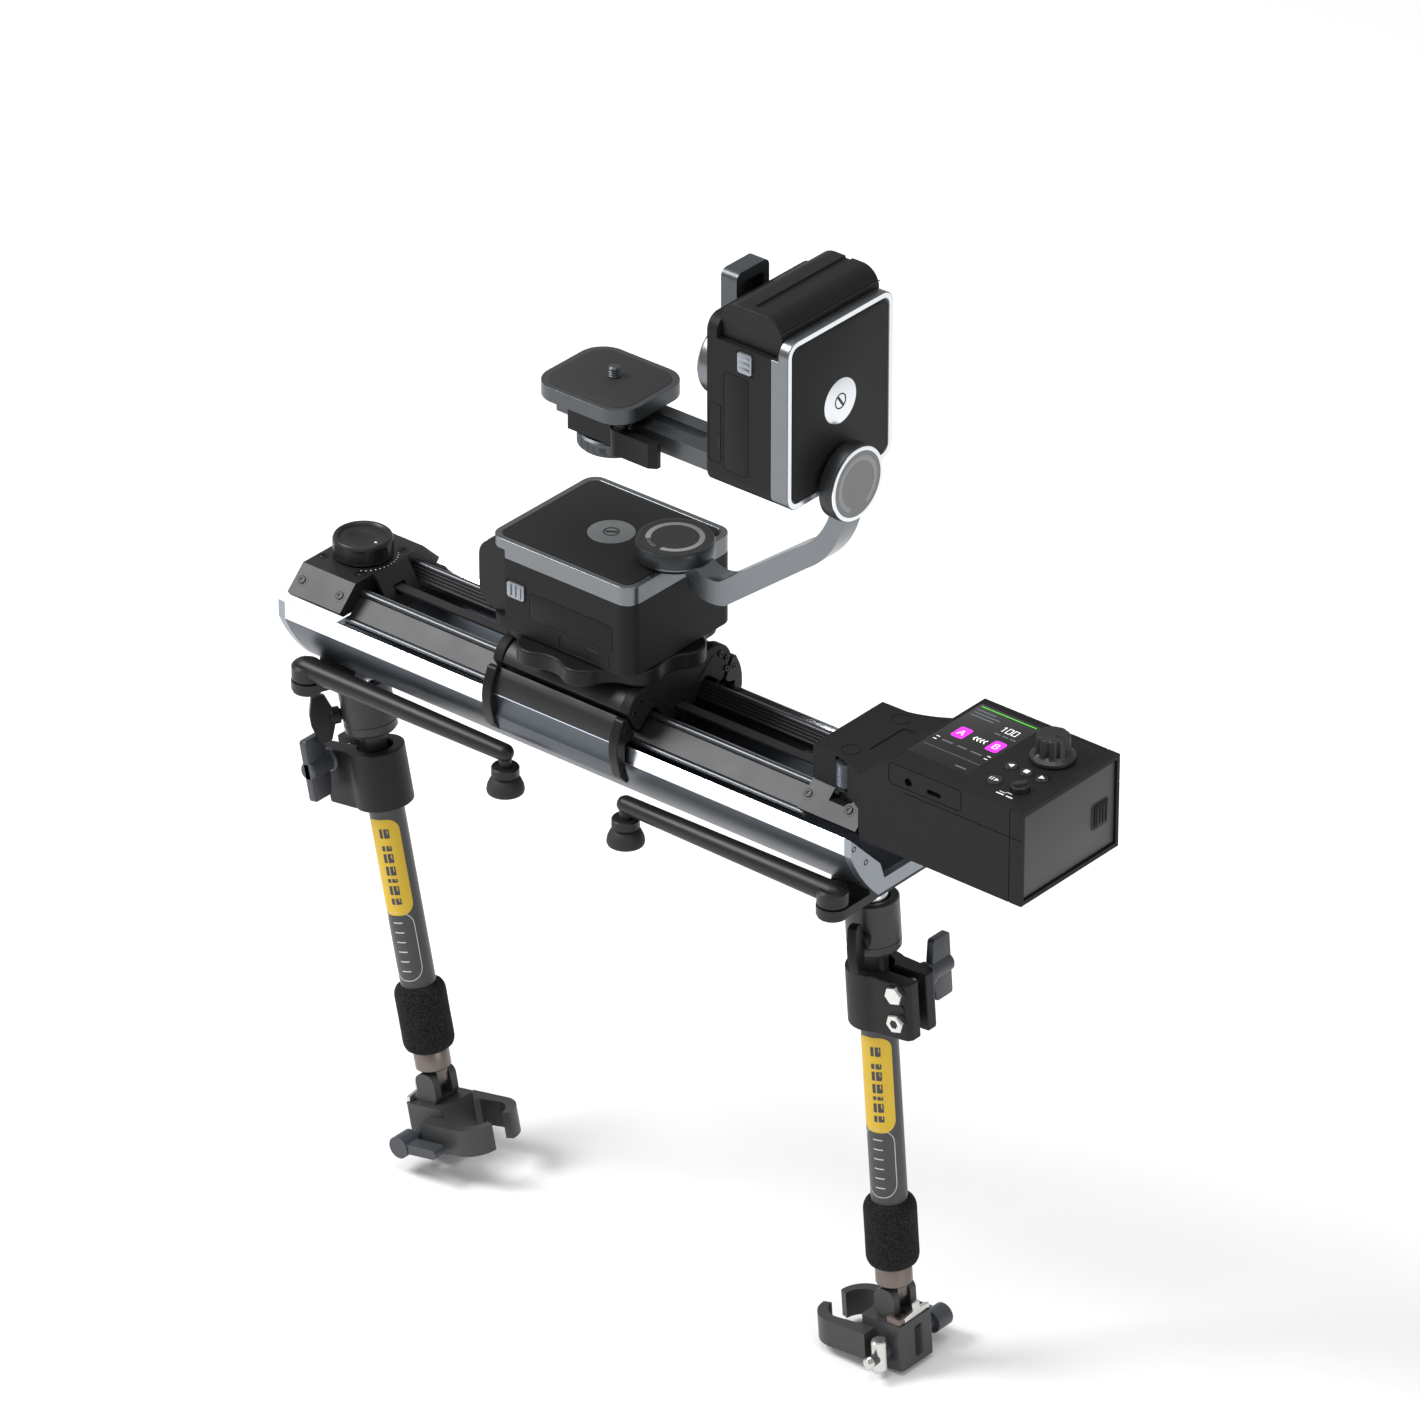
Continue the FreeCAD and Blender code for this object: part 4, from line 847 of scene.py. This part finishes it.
softened("tilt_arm", arm_silver, 1.3, segments=3)
HUB_X, HUB_Z = 42.0, 214.1
hub1 = at(HUB_X, 0, 0)
hub2 = at(0, 0, HUB_Z) @ spun(90, "Y")
arm_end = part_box("tilt_arm")[1].x / MM
# The upper hub's edge ring is near-white metal, a painted highlight; the lower hub's is black.
for name, move, top, face_finish, rim, turn_to in (("lower", hub1, 142.4, hub_glass, hub_black, -100),
                                                   ("upper", hub2, arm_end, hub_grey, painted_highlight_aluminium, 10)):
    cap = turned([(17.6, top - 8.4), (20.0, top - 8.2), (20.15, top - 7.6), (20.15, top - 1.6),
                  (19.4, top - 0.3), (19.0, top + 0.1), (17.4, top + 0.1), (17.0, top - 0.4),
                  (17.0, top - 8.4), (17.6, top - 8.4)], 72)
    piece_of(placed(cap, move), "arm_hub_ring_" + name, hub_black, "arm")
    edge = turned([(19.0, top - 0.35), (19.5, top - 0.35), (19.5, top + 0.12), (18.9, top + 0.22),
                   (17.5, top + 0.22), (17.5, top - 0.1), (19.0, top - 0.1), (19.0, top - 0.35)], 72)
    piece_of(placed(edge, move), "arm_hub_edge_" + name, rim, "arm")
    window = turned([(0, top - 0.3), (17.4, top - 0.3), (17.4, top + 0.12), (0, top + 0.12)], 72)
    piece_of(placed(window, move), "arm_hub_window_" + name, face_finish, "arm")
    turn = spun(turn_to, "Z")
    arc = placed(dial_arc(12.3, 15.0, 18, 325, top + 0.14), move @ turn)
    piece_of(arc, "arm_hub_arc_" + name, arc_grey, "arm")
    ticks = []
    for k in range(5):
        tick_at = turn @ spun(-28 + 7 * k, "Z")
        ticks += stroke([(13.0, 0), (14.6, 0)], 0.4, move @ tick_at @ at(0, 0, top + 0.14), 0.06)
    piece_of(joined(ticks), "arm_hub_ticks_" + name, arc_grey, "arm")

# ---------------------------------------------------------------------------------------------
# Camera bracket and quick clamp: an L of grey anodised bar with a slotted lower leg, a locking
# ring on the tilt shaft, and a clamp with a rubber-topped plate, a side lever and a knurled screw.

# Grey anodised bar: duller than the arm. The lever is die cast and painted, and the slide rails
# are a dark bronze.
bar_grey = grained("grey_anodised_bar", ("#4e5154", "#575a5d"), (0.34, 0.42), 0.5, 0.01, metal=0.85)
lever_black = grained("die_cast_black_lever", ("#111112", "#161617"), (0.38, 0.46), 0.5, 0.015, metal=0.1,
                      Specular_IOR_Level=0.2)
dark_bronze = grained("dark_bronze_slide_rail", ("#4a4640", "#545049"), (0.4, 0.5), 0.5, 0.01, metal=0.8)
softened("camera_bracket", bar_grey, 0.8)
softened("bracket_knob", anodised_band, 0.6)
clamp_body = softened("camera_clamp", bar_grey, 0.6)
clamp_body.data.materials.append(lever_black)
for polygon in clamp_body.data.polygons:
    polygon.material_index = int(polygon.center.z < 211.9 * MM)
softened("clamp_lever", lever_black, 0.7)
CLAMP_X = 2.5
seat_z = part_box("camera_clamp")[1].z / MM
pad = slab((53.0, 47.0, 0.55), 11.0, at(CLAMP_X, -3.0, seat_z - 0.3), 0.2)
piece_of(pad, "camera_plate_rubber", moulded_rubber, "clamp")
rails = [slab((30.0, 1.6, 1.0), 0.4, at(CLAMP_X, y, 211.2), 0.2) for y in (-18.4, 18.4)]
rails += [slab((30.0, 1.0, 1.2), 0.3, at(CLAMP_X, y, 207.4), 0.2) for y in (-17.8, 17.8)]
piece_of(joined(rails), "clamp_slide_rails", dark_bronze, "clamp")
wheel_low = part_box("camera_screw")[0].z / MM
wheel = joined([knurled(19.0, wheel_low + 1.2, wheel_low + 7.2, 150, 6, 0.45),
                turned([(0, wheel_low + 0.9), (6.0, wheel_low + 0.9), (7.0, wheel_low), (17.8, wheel_low),
                        (19.0, wheel_low + 1.2)], 150),
                turned([(19.0, wheel_low + 7.2), (18.0, wheel_low + 8.3), (2.6, wheel_low + 8.3),
                        (2.6, 220.1)] + [(r, 220.2 + 1.27 * k + dz) for k in range(4)
                                         for dz, r in ((0.0, 2.75), (0.5, 3.17), (0.75, 3.17))]
                       + [(2.6, 225.7), (2.2, 226.0), (0, 226.0)], 150)])
bmesh.ops.remove_doubles(wheel, verts=wheel.verts, dist=0.002 * MM)
made = piece_of(placed(wheel, at(CLAMP_X, 0, 0)), "camera_screw_knurled", bar_grey, "screw_wheel")
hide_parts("camera_screw")
lever_pin = turned([(0, 0), (3.2, 0), (3.2, 0.5), (2.6, 0.9), (0, 0.9)], 32)
piece_of(placed(lever_pin, at(22.5, -20.0, 206.4)), "clamp_lever_pin", silver_aluminium, "clamp_handle")

# ---------------------------------------------------------------------------------------------
# Support rods: a ball head with a paddle knob, a painted tube with a split collar, hexagon bolts
# and a T knob, a foam sleeve, a ferrule with a hinge, and a hooked clamp for a tripod's leg.

# Baked grey paint on the tubes and heads, glass-filled nylon on the collars, zinc on the bolts,
# bronze-tinted steel on the ferrules, and vinyl labels with flat print.
painted_tube = grained("grey_painted_tube", ("#3a3b3c", "#434445"), (0.36, 0.46), 0.6, 0.012, metal=0.35)
head_paint = grained("charcoal_painted_head", ("#2e2e2f", "#363637"), (0.34, 0.42), 0.6, 0.012, metal=0.3)
collar_abs = grained("black_glass_filled_nylon", ("#171717", "#1c1c1d"), (0.42, 0.52), 0.5, 0.02,
                     Specular_IOR_Level=0.25)
knob_nylon = grained("blue_grey_moulded_nylon", ("#34373c", "#3d4046"), (0.34, 0.44), 0.6, 0.01)
bolt_zinc = grained("bright_zinc_plated_steel", ("#c9c7c4", "#d6d4d1"), (0.18, 0.28), 0.6, 0.006, metal=1.0)
ferrule_steel = grained("bronze_tinted_steel", ("#6e6560", "#7a716c"), (0.30, 0.38), 0.5, 0.006, metal=0.9)
clamp_paint = grained("grey_black_painted_casting", ("#333435", "#3c3d3e"), (0.38, 0.48), 0.7, 0.02,
                     metal=0.2)
yellow_label = grained("yellow_vinyl_label", ("#c8a41c", "#d0ac24"), (0.45, 0.52), 1.0, 0.003)
label_ink = grained("dark_label_ink", ("#33343a", "#3a3b41"), (0.5, 0.55), 1.0, 0.003)
pale_line = grained("pale_grey_print", ("#b9bab9", "#c3c4c3"), (0.5, 0.55), 1.0, 0.003)

# Closed-cell foam: cut cells about 0.75 mm across show as pale specks on near-black.
foam = grained("closed_cell_foam", ("#101010", "#161616"), (0.85, 0.95), 0.9, 0.15, Specular_IOR_Level=0.2)
tree = foam.node_tree
place = tree.nodes["Texture Coordinate"].outputs["Object"]
cells = add_node(tree, "TexVoronoi", {"Scale": 1 / (0.75 * MM)}, {"Vector": place})
specks = add_node(tree, "MapRange", {"From Min": 0.0, "From Max": 0.6, "To Min": 1.0, "To Max": 0.0},
                  {"Value": cells.outputs["Distance"]})
speckled = add_node(tree, "Mix", {"data_type": "RGBA", 6: hex_to_linear("#0d0d0d"),
                                  7: hex_to_linear("#343434")}, {0: specks.outputs["Result"]})
tree.links.new(speckled.outputs[2], tree.nodes["Principled BSDF"].inputs["Base Color"])


def wrapped(outline, radius, height, thick=0.06, cuts=24):
    """A label bent round a tube: outline points are (arc length, height) in mm, about +X."""
    shape = bmesh.new()
    shape.faces.new([shape.verts.new((0, a * MM, (height + h) * MM)) for a, h in outline])
    span = max(abs(a) for a, h in outline)
    for k in range(1, cuts):
        y = (-span + 2 * span * k / cuts) * MM
        bmesh.ops.bisect_plane(shape, geom=list(shape.verts) + list(shape.edges) + list(shape.faces),
                               plane_co=(0, y, 0), plane_no=(0, 1, 0), dist=1e-9)
    outer = raised(shape, (0, 0, 0))
    for vert in shape.verts:
        r = (radius + (thick if vert in outer else -thick)) * MM
        angle = vert.co.y / (radius * MM)
        vert.co.x, vert.co.y = r * math.cos(angle), r * math.sin(angle)
    return shape


def extruded(outline, thick, matrix, edge=0.0):
    """A plate from an outline in its own XY plane, standing on its seat, with broken edges."""
    shape = bmesh.new()
    shape.faces.new([shape.verts.new((x * MM, y * MM, 0)) for x, y in outline])
    raised(shape, (0, 0, thick * MM))
    bmesh.ops.recalc_face_normals(shape, faces=shape.faces)
    if edge:
        sharp = [e for e in shape.edges if e.calc_face_angle(0) > math.radians(40)]
        bmesh.ops.bevel(shape, geom=sharp, affect="EDGES", offset=edge * MM, segments=2, profile=0.5,
                        material=-1, clamp_overlap=True)
    return placed(shape, matrix)


def arc_points(centre, radius, start, stop, steps=12):
    """Points on an arc between two angles in degrees."""
    turns = [math.radians(start + (stop - start) * k / steps) for k in range(steps + 1)]
    return [(centre[0] + radius * math.cos(a), centre[1] + radius * math.sin(a)) for a in turns]


# Each wing's bearing round its rod in degrees, then places in mm down the rod from its ball.
WINGS = {"left": 50.0, "right": -72.0}
BALL_X, BALL_Z, TUBE_R = 170.0, -17.0, 9.5
BOLT_X, BOLT_Z, COLLAR_LOW, COLLAR_TALL = 22.0, -44.0, -70.0, 32.0
FOAM_LOW, FOAM_TALL, YELLOW_Z, LINE_Z = -212.0, 38.0, -104.0, -149.5
for side, lean, x, turn in (("left", -11.7, -BALL_X, 180.0), ("right", -4.4, BALL_X, 0.0)):
    rod = (at(x, 0, BALL_Z) @ spun(lean, "Y")
           @ spun(turn, "Z"))
    head, tube, grip = "rod_head_" + side, "rod_" + side, "leg_grip_" + side

    # Ball head: a turned housing with a lock ring, and the thinner rod that slides in the tube.
    shell = turned([(9.4, -2.0), (9.6, 0.3), (10.2, 0.5), (13.4, 0.5), (14.1, -0.2), (14.1, -22.6),
                    (13.8, -22.8), (13.8, -23.2), (14.1, -23.4), (14.0, -27.4), (12.6, -29.0),
                    (6.9, -29.0), (6.7, -30.0),
                    (6.7, -200.0), (0, -200.0), (0, -10.6), (4.0, -9.9), (7.6, -6.6), (9.4, -2.0)], 64)
    made = piece_of(placed(shell, rod), "support_head_turned_" + side, head_paint, head)
    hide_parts("support_head_" + side)
    out = (rod @ at(0, 0, -17.0) @ spun(WINGS[side], "Z") @ spun(90, "Y"))
    stem = placed(turned([(0, 10.3), (3.0, 10.3), (3.0, 14.6), (4.6, 15.2), (4.6, 19.0), (4.0, 20.0),
                          (0, 20.0)], 32),
                  out)
    paddle_outline = [(-12.4, 3.6), (-13.4, 0), (-12.4, -3.6), (-3.0, -7.0), (3.0, -7.0), (12.4, -3.6),
                      (13.4, 0), (12.4, 3.6), (3.0, 6.0), (-3.0, 6.0)]
    paddle = extruded(paddle_outline, 5.0, out @ at(0, 0, 24.8) @ spun(90, "X")
                      @ at(0, 0, -2.5), 0.7)
    made = piece_of(joined([stem, paddle]), "head_paddle_" + side, smooth_abs, "head_lock_" + side)
    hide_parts("head_knob_" + side)

    # Tube with its ferrule and hinge tongue.
    pipe = turned([(6.8, -52.0), (9.5, -52.0), (9.5, -212.0), (6.8, -212.0), (6.8, -52.0)], 64)
    made = piece_of(placed(pipe, rod), "support_tube_painted_" + side, painted_tube, tube)
    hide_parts("support_tube_" + side)
    ferrule = turned([(0, -212.0), (9.3, -212.0), (9.6, -212.6), (9.6, -222.2), (8.8, -223.0),
                      (0, -223.0)], 64)
    piece_of(placed(ferrule, rod), "support_ferrule_" + side, ferrule_steel, tube)
    tongue = [(-5.5, 0), (5.5, 0)] + arc_points((0, -8.4), 5.5, 0, -180)
    piece_of(extruded(tongue, 8.0, rod @ at(0, 4.0, -222.0) @ spun(90, "X"), 0.4),
             "support_tongue_" + side, ferrule_steel, tube)

    # Collar: a split nylon clamp; its outline is an arc round the tube with two flat ears.
    outline = ([(30.0, 3.0), (30.0, 9.0), (28.0, 11.6), (11.0, 13.4)] + arc_points((0, 0), 15.6, 60, 300, 30)
               + [(11.0, -13.4), (28.0, -11.6), (30.0, -9.0), (30.0, -3.0)]
               + arc_points((0, 0), 9.58, -18, -342, 36))
    collar = extruded(outline, COLLAR_TALL, at(0, 0, COLLAR_LOW))
    for vert in collar.verts:
        if vert.co.x < 0:
            flare = 0.6 * math.cos(math.pi * (vert.co.z / MM - COLLAR_LOW - 16.0) / COLLAR_TALL)
            vert.co.x -= flare * MM
    made = piece_of(placed(collar, rod), "collar_split_" + side, collar_abs, tube)
    bevel = made.modifiers.new("broken_edges", "BEVEL")
    bevel.width, bevel.segments, bevel.limit_method = 0.8 * MM, 3, "ANGLE"
    bevel.angle_limit = math.radians(32)
    bevel.harden_normals = True
    # Dark discs under the bolt heads, a dark hexagon in a bolt's end and a dark patch for the slot: painted
    # shade in these recesses.
    bolts, dark = [], []
    for z in (BOLT_Z, BOLT_Z - 16.0):
        flip = at(22.5, -12.25, z) @ spun(90, "X")
        hexagon = turned([(0, 0), (5.4, 0), (5.4, 2.2), (4.9, 2.9), (0, 2.9)], 6)
        bolts.append(placed(hexagon, rod @ flip @ spun(12, "Z")))
        dark.append(placed(turned([(0, -0.1), (6.2, -0.1), (6.2, 0.12), (0, 0.12)], 32), rod @ flip))
    dark.append(placed(turned([(0, 2.7), (2.5, 2.7), (2.5, 2.98), (0, 2.98)], 6), rod @ flip))
    thread = [(0, -3.2), (2.3, -3.2)]
    for k in range(8):
        thread += [(2.3, -3.1 + 0.78 * k), (2.6, -2.8 + 0.78 * k), (2.6, -2.6 + 0.78 * k)]
    thread += [(2.3, 3.2), (0, 3.2)]
    bolts.append(placed(turned(thread, 24), rod @ at(BOLT_X, 0, BOLT_Z) @ spun(-90, "X")))
    piece_of(joined(bolts), "collar_bolts_" + side, bolt_zinc, tube)
    # The collar's slot is a dark patch: painted shade.
    slot_shade_outline = rounded_outline(10.5, 4.2, 1.8)
    dark.append(printed(slot_shade_outline, 0.12, rod @ at(BOLT_X, -12.3, BOLT_Z - 8.0) @ spun(90, "X")))
    piece_of(joined(dark), "collar_recess_shade_" + side, moulded_rubber, tube)

    # T knob: a moulded plate with a round rib along its stud.
    stud = turned([(0, 11.6), (6.0, 11.6), (6.4, 12.2), (6.4, 14.0), (5.2, 15.0), (5.0, 29.4),
                   (4.2, 30.4), (0, 30.4)], 36)
    axis = rod @ at(BOLT_X, 0, BOLT_Z) @ spun(-90, "X")
    blade = [(-16.4, 17.4), (-17.4, 18.6), (-17.4, 29.4), (-16.4, 30.4), (-6.0, 30.4), (6.0, 30.4),
             (16.4, 30.4), (17.4, 29.4), (17.4, 18.6), (16.4, 17.4), (6.0, 15.6), (-6.0, 15.6)]
    plate = extruded(blade, 4.6, axis @ spun(90, "Y") @ at(0, 0, -2.3)
                     @ spun(90, "Z"), 0.9)
    made = piece_of(joined([placed(stud, axis), plate]), "collar_t_knob_" + side, knob_nylon,
                    "collar_lock_" + side)
    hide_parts("collar_knob_" + side)

    # Foam sleeve: soft, slightly waisted, with rolled ends.
    sleeve = [(9.7, -211.9)]
    for k in range(25):
        t = k / 24
        roll = min(1.0, math.sin(math.pi * min(t, 1 - t) * 3.2) ** 0.5 if min(t, 1 - t) < 0.156 else 1.0)
        sleeve.append((10.4 + 3.5 * roll - 0.12 * math.sin(math.pi * t), FOAM_LOW + FOAM_TALL * t))
    sleeve += [(9.7, -174.1), (9.7, -211.9)]
    made = piece_of(placed(turned(sleeve, 96), rod), "foam_sleeve_" + side, foam, tube,
                    sharp=70.0)
    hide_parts("foam_grip_" + side)

    # Printed labels: a yellow patch and a thin outlined one below it, with plain bars for words.
    facing = rod @ spun(-turn - 76.0, "Z")
    yellow = wrapped(rounded_outline(20.5, 55.0, 7.0), TUBE_R, YELLOW_Z, 0.08)
    piece_of(placed(yellow, facing), "tube_yellow_label_" + side, yellow_label, tube)
    bars = [wrapped([(a + b, c + d) for b, d in rounded_outline(w, h, 0.5)], TUBE_R, YELLOW_Z, 0.13, 4)
            for a, c, w, h in ((1.6, 19.5, 5.4, 5.4), (1.6, 11.0, 5.4, 3.0), (1.6, 5.4, 5.4, 5.2),
                              (1.6, -1.8, 5.4, 5.2), (1.6, -7.4, 5.4, 2.2), (1.6, -13.0, 5.4, 5.2),
                               (1.6, -19.4, 5.4, 3.6))]
    piece_of(placed(joined(bars), facing), "tube_label_bars_" + side, label_ink, tube)
    frame_line = []
    outer, inner = rounded_outline(18.0, 40.0, 8.0), rounded_outline(17.2, 39.2, 7.6)
    for k in range(len(outer)):
        j = (k + 1) % len(outer)
        frame_line.append(wrapped([outer[k], outer[j], inner[j], inner[k]], TUBE_R, LINE_Z, 0.09, 2))
    for k in range(6):
        frame_line.append(wrapped([(-2.6, 14.0 - 5.6 * k), (2.6, 14.0 - 5.6 * k), (2.6, 13.4 - 5.6 * k),
                                   (-2.6, 13.4 - 5.6 * k)], TUBE_R, LINE_Z, 0.09, 4))
    piece_of(placed(joined(frame_line), facing), "tube_line_label_" + side, pale_line, tube)

    # Leg clamp: a painted casting with hooked jaws, a roller in its window, a hinge and a screw.
    softened("leg_clamp_" + side, clamp_paint, 0.9)
    softened("clamp_screw_" + side, knob_nylon, 0.7)
    roller = turned([(0, -8.6), (5.0, -8.6), (5.6, -8.0), (5.6, 8.0), (5.0, 8.6), (0, 8.6)], 40)
    piece_of(placed(roller, rod @ at(8.4, 1.5, -254.5)), "clamp_roller_" + side, smooth_abs, grip)
    plate = slab((9.0, 20.0, 4.0), 1.2, rod @ at(7.4, -2.0, -241.4), 0.5)
    piece_of(plate, "clamp_bronze_plate_" + side, ferrule_steel, grip)
    holes = [socket_screw(1.9, 0.3, rod @ at(8.6, y, -237.3)) for y in (-9.0, -4.4)]
    piece_of(joined(holes), "clamp_plate_screws_" + side, black_oxide, grip)
    t_outline = [(-10.0, 0), (10.0, 0), (10.0, 3.2), (2.6, 4.0), (2.2, 8.5), (-2.2, 8.5), (-2.6, 4.0),
                 (-10.0, 3.2)]
    bracket = extruded(t_outline, 2.2, rod @ at(10.2, 2.0, -241.0) @ spun(90, "Z")
                       @ spun(90, "X"), 0.35)
    piece_of(bracket, "clamp_t_bracket_" + side, bolt_zinc, grip)
    nuts = [placed(turned([(0, -8.6), (3.6, -8.6), (4.2, -8.0), (4.2, 8.0), (3.6, 8.6), (0, 8.6)], 32),
                   rod @ at(4.0, -19.5, -256.0))]
    stub = [(0, 0), (2.7, 0)]
    for k in range(8):
        stub += [(2.7, 0.2 + 0.8 * k), (3.0, 0.5 + 0.8 * k), (3.0, 0.7 + 0.8 * k)]
    stub += [(2.6, 6.6), (2.0, 7.2), (0, 7.2)]
    nuts.append(placed(turned(stub, 24), rod @ at(4.0, -23.0, -257.0) @ spun(90, "X")))
    piece_of(joined(nuts), "clamp_barrel_nut_" + side, bolt_zinc, grip)
